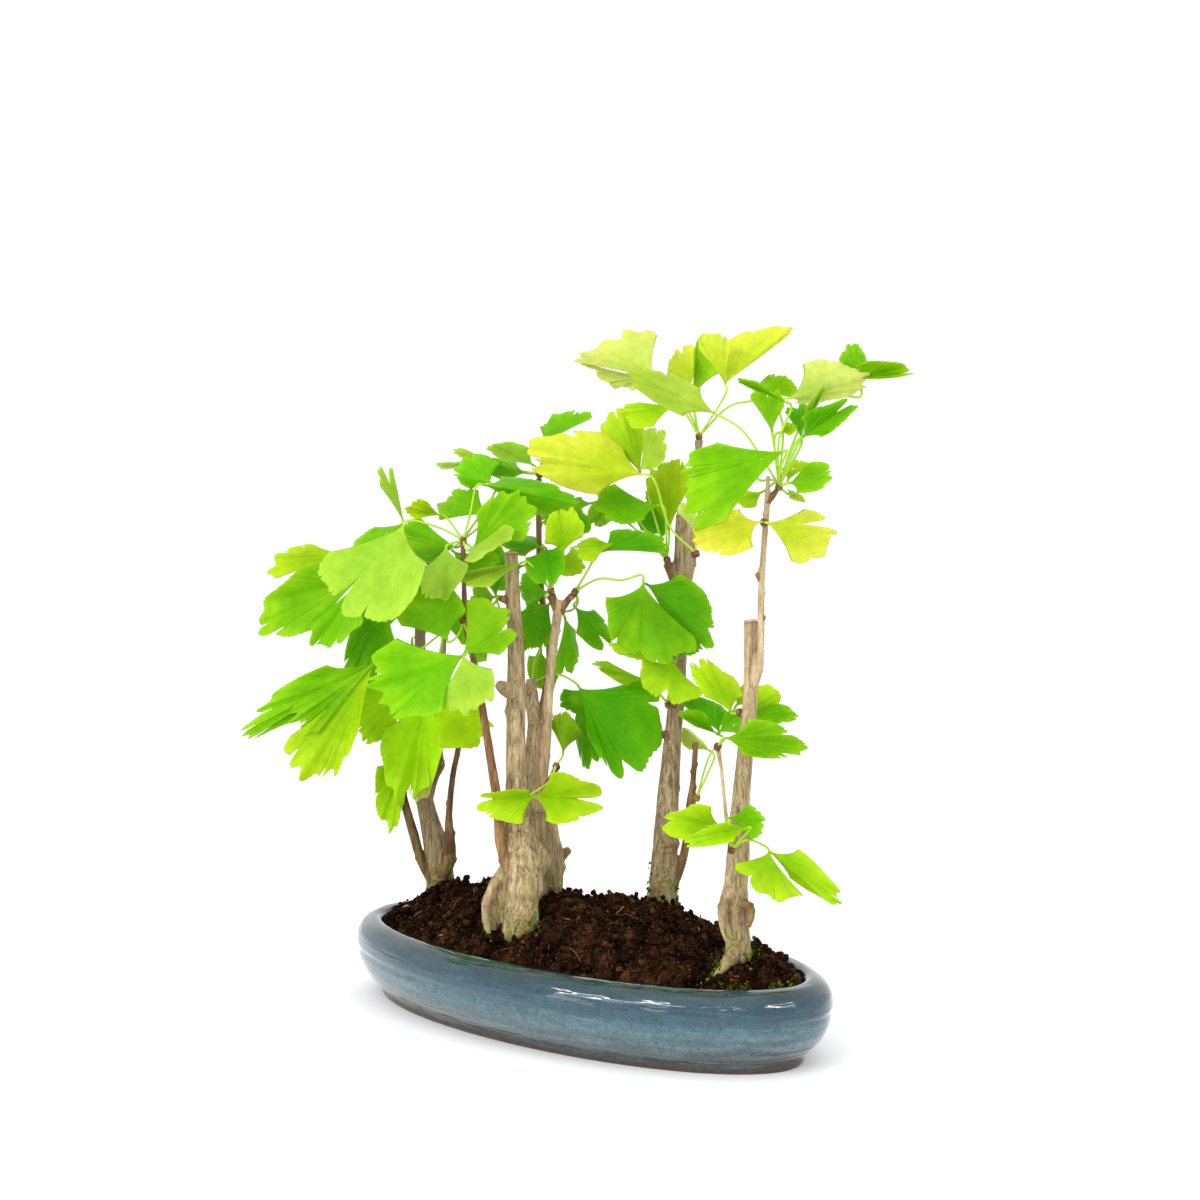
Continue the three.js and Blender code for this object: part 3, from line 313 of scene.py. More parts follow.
def tube(path: Array, radii: Array, sides: int) -> Surface:
    """A closed round bar: rings square to the path, and a pole at each end.

    A ring's point is centre + radius * (cos * side + sin * lift), side and lift
    being the two directions square to the path.

    Args:
        path: The bar's middle line in mm.
        radii: Its radius in mm at each point of the line.
        sides: How many points a ring has.

    Returns:
        The bar.
    """
    along = unit(np.gradient(path, axis=0))
    axis = np.eye(3)[np.argmin(np.abs(along).max(axis=0))]
    side = unit(np.cross(along, axis))
    lift = np.cross(along, side)
    angle = circle(sides)
    spoke = np.cos(angle)[None, :, None] * side[:, None] + np.sin(angle)[None, :, None] * lift[:, None]
    return capped(path[:, None] + radii[:, None, None] * spoke, (path[:1], path[-1:]))


# ---------------------------------------------------------------- front drawing
@dataclass(frozen=True)
class FrontDrawing:
    """The upright square sheet on which stems and leaves are set out.

    x runs to the right and y down, as a viewer at the eye sees them, and a third
    number is the depth in mm in front of the sheet, which stands across the line
    of sight through middle, a point near the tray's centre.
    """

    size: float = 1200.0
    focus: float = 2235.4
    middle: tuple[float, float, float] = (-4.0, 7.0, 0.0)
    eye_distance: float = 1208.5
    eye_azimuth: float = 38.5
    eye_elevation: float = 15.8
    look_azimuth: float = 38.08
    look_fall: float = 5.23

    @property
    def eye(self) -> Array:
        """The viewer's place, in mm."""
        return np.array(self.middle) + self.eye_distance * bearing(self.eye_azimuth, self.eye_elevation)

    @property
    def look(self) -> Array:
        """The direction in which the viewer looks."""
        return -bearing(self.look_azimuth, self.look_fall)

    @property
    def rightward(self) -> Array:
        """The sheet's direction to the right."""
        return unit(np.cross(self.look, UP))

    @property
    def upward(self) -> Array:
        """The sheet's upward direction."""
        return np.cross(self.rightward, self.look)

    @property
    def sheet_distance(self) -> float:
        """How far the sheet stands from the eye, in mm."""
        return float((np.array(self.middle) - self.eye) @ self.look)

    def place(self, marks: Array) -> Array:
        """The points in mm of marks on the drawing: along the ray through x and y, to the depth.

        Args:
            marks: Rows of x, y and depth.

        Returns:
            Positions in mm.
        """
        x, y, depth = (np.asarray(marks, float)[..., k, None] for k in range(3))
        ray = self.look + self.rightward * (x - self.size / 2) / self.focus
        ray = ray + self.upward * (self.size / 2 - y) / self.focus
        return self.eye + ray * (self.sheet_distance - depth)

    def scale(self, depth: Array | float) -> Array:
        """The length in mm of one drawing unit at a depth."""
        return (self.sheet_distance - np.asarray(depth, float)) / self.focus


DRAWING = FrontDrawing()


# ---------------------------------------------------------------- materials
BLEND = {"output": 2, "data_type": "RGBA"}
MULTIPLY = {**BLEND, "blend_type": "MULTIPLY"}


def per_metre(size: float) -> float:
    """The scale of a pattern whose features are of a size in mm: how many fit in a metre."""
    return 1.0 / (size * MM)


class Recipe:
    """A material being mixed from nodes round one principled shader."""

    def __init__(self, name: str, **constants: object) -> None:
        """Starts the material.

        Args:
            name: What the material is and how its surface was made.
            constants: Values set straight on the shader, by socket name with _ for spaces.
        """
        self.material = bpy.data.materials.new(name)
        self.material.use_nodes = True
        self.tree = self.material.node_tree
        self.shader = self.tree.nodes["Principled BSDF"]
        for key, value in constants.items():
            self.shader.inputs[key.replace("_", " ")].default_value = value

    def add(self, kind: str, inputs: dict[int | str, object] | None = None,
            stops: Sequence[tuple[float, str]] = (), output: int | str = 0,
            **settings: object) -> Socket:
        """Adds one node with its settings, ramp stops, and input values or links.

        Args:
            kind: The node's type, without its prefix ShaderNode.
            inputs: A value or a source for each input socket that isn't left as it is.
            stops: Place and sRGB hex colour of each stop of a colour ramp.
            output: Which of the node's outputs is wanted.
            settings: The node's own properties.

        Returns:
            The wanted output.
        """
        node = self.tree.nodes.new("ShaderNode" + kind)
        for key, value in settings.items():
            setattr(node, key, value)
        for index, (place, colour) in enumerate(stops):
            ramp = node.color_ramp.elements
            stop = ramp[index] if index < 2 else ramp.new(place)
            stop.position, stop.color = place, linear(colour)
        for key, value in (inputs or {}).items():
            if isinstance(value, Socket):
                self.tree.links.new(value, node.inputs[key])
            else:
                node.inputs[key].default_value = value
        return node.outputs[output]

    def feed(self, socket: str, source: Socket) -> None:
        """Links a pattern into one of the shader's sockets."""
        self.tree.links.new(source, self.shader.inputs[socket])


@dataclass(frozen=True)
class RunningGlaze:
    """Blue stoneware glaze, dipped and fired, over a foot wiped bare.

    The glaze runs while it melts: it breaks greenish and thin on the rim, pools
    teal in the band under it, turns milky and mottled on the belly, and leaves
    the foot's iron-brown clay bare and dull, its brown darkened further as painted
    shade. Sizes are in mm.
    """

    tray_height: float = 43.0
    foot: float = 3.0
    run: float = 22.22
    streak: float = 26.0
    flatness: float = 9.0
    mottle: float = 3.5
    sand: float = 0.909
    speck_gap: float = 6.667
    speck_patch: float = 16.667
    swell: float = 26.316
    smear_start: float = 70.0
    smear_end: float = 135.0
    zones: tuple[tuple[float, str], ...] = (
        (0.1, "#354443"), (0.2, "#415557"), (0.34, "#506a6f"), (0.5, "#4c6c77"), (0.6, "#315b6a"),
        (0.72, "#0d4455"), (0.84, "#0d3c4d"), (0.93, "#0d353c"), (1.0, "#0e302c"),
    )

    def mix(self) -> Finish:
        """Mixes the glaze: zones by height, streaks, mottling, specks and the bare foot.

        Returns:
            The material, with a clear coat for the glaze's glassy top.
        """
        recipe = Recipe("stoneware, dipped in running blue glaze", IOR=1.5, Specular_IOR_Level=0.08,
                        Coat_Weight=1.0, Coat_Roughness=0.04, Coat_IOR=1.6)
        place = recipe.add("TexCoord", output="Object")
        height = recipe.add("SeparateXYZ", {0: place}, output="Z")
        blur = recipe.add("TexNoise", {"Vector": place, "Scale": per_metre(self.run), "Detail": 3.0})
        sway = recipe.add("Math", {0: blur, 1: 0.5}, operation="SUBTRACT")
        lifted = recipe.add("Math", {0: sway, 1: 8.0 * MM, 2: height}, operation="MULTIPLY_ADD")
        share = recipe.add("Math", {0: lifted, 1: per_metre(self.tray_height)}, operation="MULTIPLY")
        spread = recipe.add("Mapping", {"Vector": place, "Scale": (1.0, 1.0, self.flatness)})
        grain = recipe.add("TexNoise", {
            "Vector": place, "Scale": per_metre(self.mottle), "Detail": 4.0, "Roughness": 0.7})
        glaze = self.streaked(recipe, place, spread, share)
        glaze = self.specked(recipe, place, self.mottled(recipe, place, grain, glaze))
        edge = recipe.add("Math", {0: sway, 1: 3.0 * MM, 2: height}, operation="MULTIPLY_ADD")
        bare = recipe.add("MapRange", {
            "Value": edge, "From Min": (self.foot + 0.5) * MM, "From Max": (self.foot - 0.3) * MM})
        # bare iron-brown clay, its colour darkened as painted shade on the foot
        clay = recipe.add("ValToRGB", {0: grain}, ((0.3, "#33271f"), (0.7, "#4f3d33")))
        recipe.feed("Base Color", recipe.add("Mix", {0: bare, 6: glaze, 7: clay}, **BLEND))
        recipe.feed("Roughness", recipe.add("MapRange", {"Value": bare, "To Min": 0.2, "To Max": 0.85}))
        wave = recipe.add("TexNoise", {"Vector": spread, "Scale": per_metre(self.swell), "Detail": 1.5})
        bump = recipe.add("Bump", {"Height": wave, "Distance": 1.2 * MM, "Strength": 0.6})
        recipe.feed("Normal", bump)
        recipe.feed("Coat Normal", bump)
        return recipe.material

    def streaked(self, recipe: Recipe, place: Socket, spread: Socket, share: Socket) -> Socket:
        """The zones of colour, with level milky streaks and brown smears low at the right end.

        Args:
            recipe: The glaze being mixed.
            place: The position.
            spread: The position, squeezed so that patterns lie level.
            share: The height as a share of the tray's.

        Returns:
            The colour.
        """
        zones = recipe.add("ValToRGB", {0: share}, self.zones)
        streaks = recipe.add("TexNoise", {
            "Vector": spread, "Scale": per_metre(self.streak), "Detail": 5.0, "Roughness": 0.62})
        pale = recipe.add("ValToRGB", {0: streaks}, ((0.48, "#000000"), (0.72, "#ffffff")))
        belly = recipe.add("MapRange", {
            "Value": share, "From Min": 0.62, "From Max": 0.46, "To Min": 0.12, "To Max": 0.45})
        pale = recipe.add("Math", {0: pale, 1: belly}, operation="MULTIPLY")
        milky = recipe.add("Mix", {0: pale, 6: zones, 7: linear("#7f9aa6")}, **BLEND)
        low = recipe.add("MapRange", {"Value": share, "From Min": 0.5, "From Max": 0.2})
        along = recipe.add("SeparateXYZ", {0: place}, output="X")
        end = recipe.add("MapRange", {
            "Value": along, "From Min": self.smear_start * MM, "From Max": self.smear_end * MM,
            "To Min": 0.15})
        smear = recipe.add("MapRange", {"Value": streaks, "From Min": 0.52, "From Max": 0.4})
        smear = recipe.add("Math", {0: smear, 1: low}, operation="MULTIPLY")
        smear = recipe.add("Math", {0: smear, 1: end}, operation="MULTIPLY")
        return recipe.add("Mix", {0: smear, 6: milky, 7: linear("#3d3432")}, **BLEND)

    def mottled(self, recipe: Recipe, place: Socket, grain: Socket, colour: Socket) -> Socket:
        """Darkens the glaze in soft clouds and in fine sandy dots.

        Args:
            recipe: The glaze being mixed.
            place: The position.
            grain: The pattern of the clouds.
            colour: The colour to darken.

        Returns:
            The darkened colour.
        """
        dusk = recipe.add("ValToRGB", {0: grain}, ((0.46, "#ffffff"), (0.66, "#7f939c")))
        cloudy = recipe.add("Mix", {0: 0.5, 6: colour, 7: dusk}, **MULTIPLY)
        sand = recipe.add("TexNoise", {"Vector": place, "Scale": per_metre(self.sand), "Detail": 2.0})
        fleck = recipe.add("ValToRGB", {0: sand}, ((0.4, "#8c989b"), (0.55, "#ffffff")))
        return recipe.add("Mix", {0: 0.55, 6: cloudy, 7: fleck}, **MULTIPLY)

    def specked(self, recipe: Recipe, place: Socket, colour: Socket) -> Socket:
        """Sprinkles near-black iron specks over the glaze, in patches.

        Args:
            recipe: The glaze being mixed.
            place: The position.
            colour: The glaze's colour.

        Returns:
            The speckled colour.
        """
        cells = recipe.add("TexVoronoi", {"Vector": place, "Scale": per_metre(self.speck_gap)},
                           output="Distance")
        gate = recipe.add("TexNoise", {"Vector": place, "Scale": per_metre(self.speck_patch)})
        near = recipe.add("Math", {0: cells, 1: 0.085}, operation="LESS_THAN")
        within = recipe.add("Math", {0: gate, 1: 0.56}, operation="GREATER_THAN")
        speck = recipe.add("Math", {0: near, 1: within}, operation="MULTIPLY")
        return recipe.add("Mix", {0: speck, 6: colour, 7: linear("#2b2a26")}, **BLEND)


@dataclass(frozen=True)
class GinkgoBlade:
    """A ginkgo leaf: thin, soft, slightly waxy, with forking veins in a fan.

    Light goes partly through it. The real veins stand about 0.8 mm apart, too
    fine to show, so they are drawn about 1.6 mm apart. Sizes are in mm.
    """

    vein_pitch: float = 1.6
    first_fork: float = 3.0
    vein_height: float = 0.09
    cloud: float = 4.545
    speck: float = 3.03

    def mix(self) -> Finish:
        """Mixes the leaf from each point's own tint and its place in the fan of veins.

        Returns:
            The material, with faint veins, clouds and a few pale specks, partly dust and water marks and
            partly painted glints.
        """
        recipe = Recipe("ginkgo leaf, fresh and slightly waxy", IOR=1.42, Specular_IOR_Level=0.08,
                        Subsurface_Weight=0.3, Subsurface_Scale=1.2 * MM, Subsurface_Radius=(0.7, 1.0, 0.1))
        tint = recipe.add("Attribute", output="Color", attribute_name="tint")
        place = recipe.add("TexCoord", output="Object")
        vein = self.veins(recipe)
        cloud = recipe.add("TexNoise", {"Vector": place, "Scale": per_metre(self.cloud), "Detail": 4.0})
        patch = recipe.add("ValToRGB", {0: cloud}, ((0.3, "#d6e0b0"), (0.7, "#ffffff")))
        toned = recipe.add("Mix", {0: 0.6, 6: tint, 7: patch}, **MULTIPLY)
        faint = recipe.add("Math", {0: vein, 1: 0.07}, operation="MULTIPLY")
        veined = recipe.add("Mix", {0: faint, 6: toned, 7: linear("#cdf05a")}, **BLEND)
        # pale specks: partly dust and water marks, partly painted glints
        dust_and_glint_dots = recipe.add("TexNoise", {"Vector": place, "Scale": per_metre(self.speck), "Detail": 2.0})
        mark = recipe.add("MapRange", {"Value": dust_and_glint_dots, "From Min": 0.775, "From Max": 0.8})
        recipe.feed("Base Color", recipe.add("Mix", {0: mark, 6: veined, 7: linear("#e6f0c8")}, **BLEND))
        recipe.feed("Roughness", recipe.add("MapRange", {"Value": cloud, "To Min": 0.38, "To Max": 0.58}))
        recipe.feed("Normal", recipe.add("Bump", {
            "Height": vein, "Distance": self.vein_height * MM, "Strength": 0.35}))
        return recipe.material

    def veins(self, recipe: Recipe) -> Socket:
        """The forking veins, 1 on a vein and 0 between two.

        The angle in the fan, times a count that doubles whenever the distance
        from the root does, folds into stripes of even width; between two
        doublings the coarse stripes fade into the fine ones.

        Args:
            recipe: The leaf being mixed.

        Returns:
            The pattern.
        """
        fan = recipe.add("Attribute", output="Vector", attribute_name="fan")
        angle = recipe.add("SeparateXYZ", {0: fan}, output="X")
        distance = recipe.add("SeparateXYZ", {0: fan}, output="Y")
        ratio = recipe.add("Math", {0: distance, 1: 1.0 / self.first_fork}, operation="MULTIPLY")
        held = recipe.add("Math", {0: ratio, 1: 1.0}, operation="MAXIMUM")
        forks = recipe.add("Math", {0: held, 1: 2.0}, operation="LOGARITHM")
        whole = recipe.add("Math", {0: forks}, operation="FLOOR")
        part = recipe.add("Math", {0: forks}, operation="FRACT")
        count = recipe.add("Math", {0: 2.0, 1: whole}, operation="POWER")
        stripes = 1.5 * self.first_fork / self.vein_pitch
        turns = recipe.add("Math", {0: angle, 1: stripes}, operation="MULTIPLY")
        phase = recipe.add("Math", {0: turns, 1: count}, operation="MULTIPLY")
        doubled = recipe.add("Math", {0: phase, 1: 2.0}, operation="MULTIPLY")
        coarse = recipe.add("Math", {0: phase, 1: 0.5}, operation="PINGPONG")
        fine = recipe.add("Math", {0: doubled, 1: 0.5}, operation="PINGPONG")
        near = recipe.add("Mix", {0: part, 2: coarse, 3: fine})
        return recipe.add("MapRange", {"Value": near, "From Min": 0.2, "From Max": 0.02})


@dataclass(frozen=True)
class GinkgoBark:
    """Ginkgo bark: dull tan cork, cracked upright as the trunk grows, smoother brown skin on shoots.

    Sizes are in mm; stretch draws the cracks out along the trunk.
    """

    fissure: float = 1.15
    stretch: float = 0.07
    dust: float = 0.714

    def mix(self) -> Finish:
        """Mixes the bark from each point's own tint with upright fissures and corky grain.

        Returns:
            The material, its fissures deeper where the stem is thicker.
        """
        recipe = Recipe("ginkgo bark, dry and finely fissured", IOR=1.45, Specular_IOR_Level=0.25)
        tint = recipe.add("Attribute", output="Color", attribute_name="tint")
        girth = recipe.add("Attribute", output="Fac", attribute_name="girth")
        place = recipe.add("TexCoord", output="Object")
        drawn = recipe.add("Mapping", {"Vector": place, "Scale": (1.0, 1.0, self.stretch)})
        grain = recipe.add("TexNoise", {
            "Vector": drawn, "Scale": per_metre(self.fissure), "Detail": 6.0, "Roughness": 0.65})
        crack = recipe.add("ValToRGB", {0: grain}, ((0.34, "#7d6e58"), (0.45, "#cfc5b0"), (0.56, "#ffffff")))
        depth = recipe.add("MapRange", {
            "Value": girth, "From Min": 1.0, "From Max": 4.0, "To Min": 0.3, "To Max": 0.8})
        cracked = recipe.add("Mix", {0: depth, 6: tint, 7: crack}, **MULTIPLY)
        dust = recipe.add("TexNoise", {"Vector": place, "Scale": per_metre(self.dust), "Detail": 3.0})
        dusty = recipe.add("ValToRGB", {0: dust}, ((0.35, "#c9bda8"), (0.65, "#ffffff")))
        recipe.feed("Base Color", recipe.add("Mix", {0: 0.5, 6: cracked, 7: dusty}, **MULTIPLY))
        recipe.feed("Roughness", recipe.add("MapRange", {"Value": grain, "To Min": 0.9, "To Max": 0.68}))
        recipe.feed("Normal", recipe.add("Bump", {"Height": grain, "Distance": 0.5 * MM, "Strength": 0.8}))
        return recipe.material


@dataclass(frozen=True)
class GroundMatter:
    """Dull, gritty matter of the ground or of old buds, each point holding its own tint.

    Its grit, of a size in mm, breaks the tint up and leaves hardly any shine.
    """

    name: str
    grit: float
    roughness: float
    dark: str

    def mix(self) -> Finish:
        """Mixes the tint with the grit, which darkens and dents it.

        Returns:
            The material.
        """
        recipe = Recipe(self.name, Roughness=self.roughness, Specular_IOR_Level=0.03)
        tint = recipe.add("Attribute", output="Color", attribute_name="tint")
        place = recipe.add("TexCoord", output="Object")
        grain = recipe.add("TexNoise", {
            "Vector": place, "Scale": per_metre(self.grit), "Detail": 5.0, "Roughness": 0.7})
        gritty = recipe.add("ValToRGB", {0: grain}, ((0.35, self.dark), (0.62, "#ffffff")))
        recipe.feed("Base Color", recipe.add("Mix", {0: 0.8, 6: tint, 7: gritty}, **MULTIPLY))
        recipe.feed("Normal", recipe.add("Bump", {
            "Height": grain, "Distance": 0.4 * self.grit * MM, "Strength": 0.8}))
        return recipe.material


@dataclass(frozen=True)
class DrainNet:
    """Black polyethylene netting, extruded: faint silky sheen with earth dust on it."""

    dust: float = 3.333

    def mix(self) -> Finish:
        """Mixes the black plastic with patches of brown dust, which is duller.

        Returns:
            The material.
        """
        recipe = Recipe("polyethylene netting, extruded, dusty", IOR=1.5)
        place = recipe.add("TexCoord", output="Object")
        dust = recipe.add("TexNoise", {"Vector": place, "Scale": per_metre(self.dust), "Detail": 4.0})
        recipe.feed("Base Color", recipe.add("ValToRGB", {0: dust}, ((0.4, "#1d1f20"), (0.7, "#4a3a2c"))))
        recipe.feed("Roughness", recipe.add("MapRange", {"Value": dust, "To Min": 0.35, "To Max": 0.8}))
        return recipe.material


@dataclass(frozen=True)
class StudioSweep:
    """Matt white studio floor, rolled on, faintly uneven."""

    cloud: float = 500.0

    def mix(self) -> Finish:
        """Mixes a near-white with a faint cloud in it.

        Returns:
            The material.
        """
        recipe = Recipe("studio floor, matt white paint", Roughness=0.9, Specular_IOR_Level=0.1)
        place = recipe.add("TexCoord", output="Object")
        cloud = recipe.add("TexNoise", {"Vector": place, "Scale": per_metre(self.cloud)})
        recipe.feed("Base Color", recipe.add("ValToRGB", {0: cloud}, ((0.0, "#f4f4f4"), (1.0, "#fafafa"))))
        return recipe.material


# ---------------------------------------------------------------- tray
@dataclass
class Oval:
    """The tray's outline and the rings that lie inside it."""

    half_length: float = 149.5
    half_width: float = 70.0
    turning: float = 35.0

    def axes(self, inset: Array) -> tuple[Array, Array]:
        """Half-axes of the ring inset inside the outline; past turning both shrink together.

        Args:
            inset: How far inside the outline, in mm.

        Returns:
            The half-axes along and across the tray.
        """
        used = np.minimum(inset, self.turning)
        shrink = np.minimum(1.0, (self.half_length - inset) / (self.half_length - self.turning))
        return (self.half_length - used) * shrink, (self.half_width - used) * shrink

    def ring(self, inset: Array, angle: Array) -> tuple[Array, Array]:
        """x and y on the ellipse at an inset and an angle."""
        along, across = self.axes(inset)
        return along * np.cos(angle), across * np.sin(angle)

    def share(self, x: Array, y: Array, inset: float) -> Array:
        """How far out a place lies: 0 at the middle, 1 on the ring at the inset, more beyond."""
        along, across = self.axes(np.asarray(inset, float))
        return np.hypot(x / along, y / across)


@dataclass
class Tray:
    """The oval stoneware tray: rolled rim, groove, belly, bare foot and two drain holes."""

    oval: Oval = field(default_factory=Oval)
    floor_top: float = 6.5
    under_height: float = 0.9
    foot_inset: float = 14.8
    foot_height: float = 4.5
    drain_radius: float = 7.0
    drain_x: float = 62.0
    wall: Rows = (
        (14.4, 4.5), (13.0, 5.5), (6.6, 11.5), (2.6, 18), (0.9, 23.6), (1.2, 26.4), (0.1, 28.6), (0, 32),
        (1.2, 36.6), (5, 40.8), (10.6, 43), (13.8, 42), (15.5, 39.2), (15.5, 36), (12, 32), (10, 26),
        (12.5, 17), (17, 10.5), (23, 6.5),
    )
    sides: int = 288
    bore_sides: int = 48
    throwing: float = 0.16
    crisp_angle: float = 50.0

    def profile(self) -> Array:
        """Inset and height from the underside's middle up the wall and down to the floor's middle.

        Returns:
            Rows of inset and height in mm.
        """
        wall = np.array([(inset, height, 0.0) for inset, height in self.wall])
        wall = smooth_path(wall, 1.0)[:, :2]
        innermost = self.oval.half_length - 0.5
        under = [(inset, self.under_height) for inset in (innermost, 100, 45, 21)]
        foot = [(19.5, 0.0), (self.foot_inset + 0.6, 0.0), (self.foot_inset, 0.5),
                (self.foot_inset - 0.2, 2.4)]
        floor = [(inset, self.floor_top) for inset in (30, 60, 110, innermost)]
        return np.vstack([under, foot, wall, floor])

    def shell(self) -> Surface:
        """The profile carried round the oval, its wall wavering a little as a thrown wall does.

        The waver is two slow waves round the tray that change with the height,
        plus faint level throwing rings.

        Returns:
            The closed tray, without its drain holes.
        """
        profile = self.profile()
        angle = circle(self.sides)[None, :]
        inset, height = profile[:, :1], profile[:, 1:]
        on_wall = ease(self.foot_height + 1, self.foot_height + 5, height) * ease(14.5, 12.0, inset)
        rings = 0.5 * np.sin(height * 2.1)
        rings = rings + np.sin(3 * angle + height * 0.33) + np.sin(5 * angle - height * 0.21)
        moved = inset + self.throwing * on_wall * (1.6 + rings) * 0.5
        x, y = self.oval.ring(moved, angle)
        return capped(np.stack(np.broadcast_arrays(x, y, height), axis=-1),
                      (self.under_height * UP, self.floor_top * UP))

    def build(self) -> Piece:
        """Makes the tray and bores its two drain holes.

        Returns:
            The tray, in place of its plain solid.
        """
        piece = write_mesh("tray_stoneware", self.shell(), [RunningGlaze().mix()])
        for side in (-1, 1):
            x = side * self.drain_x
            path = np.array([[x, 0.0, height] for height in (-5.0, 0.0, 5.0, self.floor_top + 6.0)])
            drill = write_mesh("drill", tube(path, np.full(4, self.drain_radius), self.bore_sides), [])
            bore = piece.modifiers.new("bore", "BOOLEAN")
            bore.object, bore.operation, bore.solver = drill, "DIFFERENCE", "EXACT"
            with_bore = bpy.data.meshes.new_from_object(
                piece.evaluated_get(bpy.context.evaluated_depsgraph_get()))
            piece.modifiers.clear()
            piece.data = with_bore
            bpy.data.objects.remove(drill)
        piece.data.shade_smooth()
        piece.data.set_sharp_from_angle(angle=math.radians(self.crisp_angle))
        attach(piece, "root")
        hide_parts("glazed_tray")
        return piece


# ---------------------------------------------------------------- soil
ICOSAHEDRON_TRIS = np.array([
    (0, 11, 5), (0, 5, 1), (0, 1, 7), (0, 7, 10), (0, 10, 11), (1, 5, 9), (5, 11, 4), (11, 10, 2),
    (10, 7, 6), (7, 1, 8), (3, 9, 4), (3, 4, 2), (3, 2, 6), (3, 6, 8), (3, 8, 9), (4, 9, 5),
    (2, 4, 11), (6, 2, 10), (8, 6, 7), (9, 8, 1),
])


def icosahedron() -> Array:
    """The twelve corners of an icosahedron of radius 1, from three golden rectangles.

    Returns:
        The corners.
    """
    g = (1.0 + math.sqrt(5.0)) / 2.0
    return unit(np.array([
        (-1, g, 0), (1, g, 0), (-1, -g, 0), (1, -g, 0), (0, -1, g), (0, 1, g),
        (0, -1, -g), (0, 1, -g), (g, 0, -1), (g, 0, 1), (-g, 0, -1), (-g, 0, 1),
    ]))


OCTAHEDRON = np.array([(1, 0, 0), (-1, 0, 0), (0, 1, 0), (0, -1, 0), (0, 0, 1), (0, 0, -1)], float)
OCTAHEDRON_TRIS = np.array([
    (0, 2, 4), (2, 1, 4), (1, 3, 4), (3, 0, 4), (2, 0, 5), (1, 2, 5), (3, 1, 5), (0, 3, 5),
])


def crumbs(centres: Array, radii: Array, tints: Array, draw: np.random.Generator,
           stretch: tuple[float, float] = (0.6, 1.25), fine: bool = False) -> Surface:
    """Rough grains: a ball of 20 or 8 faces each, turned, stretched and dented at random.

    Args:
        centres: Where they lie, in mm.
        radii: Their radii in mm.
        tints: Their linear colours.
        draw: The random draw.
        stretch: Least and most stretch along their three axes.
        fine: Whether they are small enough to have only 8 faces.

    Returns:
        All grains as one surface.
    """
    corners, faces = (OCTAHEDRON, OCTAHEDRON_TRIS) if fine else (icosahedron(), ICOSAHEDRON_TRIS)
    count, size = len(centres), len(corners)
    turn, _ = np.linalg.qr(draw.normal(size=(count, 3, 3)))
    turn *= np.sign(np.linalg.det(turn))[:, None, None]
    shape = corners[None] * draw.uniform(*stretch, (count, 1, 3))
    shape = shape * draw.uniform(0.6, 1.2, (count, size, 1))
    points = centres[:, None] + radii[:, None, None] * np.einsum("nij,nkj->nki", turn, shape)
    tris = (faces[None] + size * np.arange(count)[:, None, None]).reshape(-1, 3)
    return Surface(points.reshape(-1, 3), tris=tris, marks={"tint": np.repeat(tints, size, axis=0)})


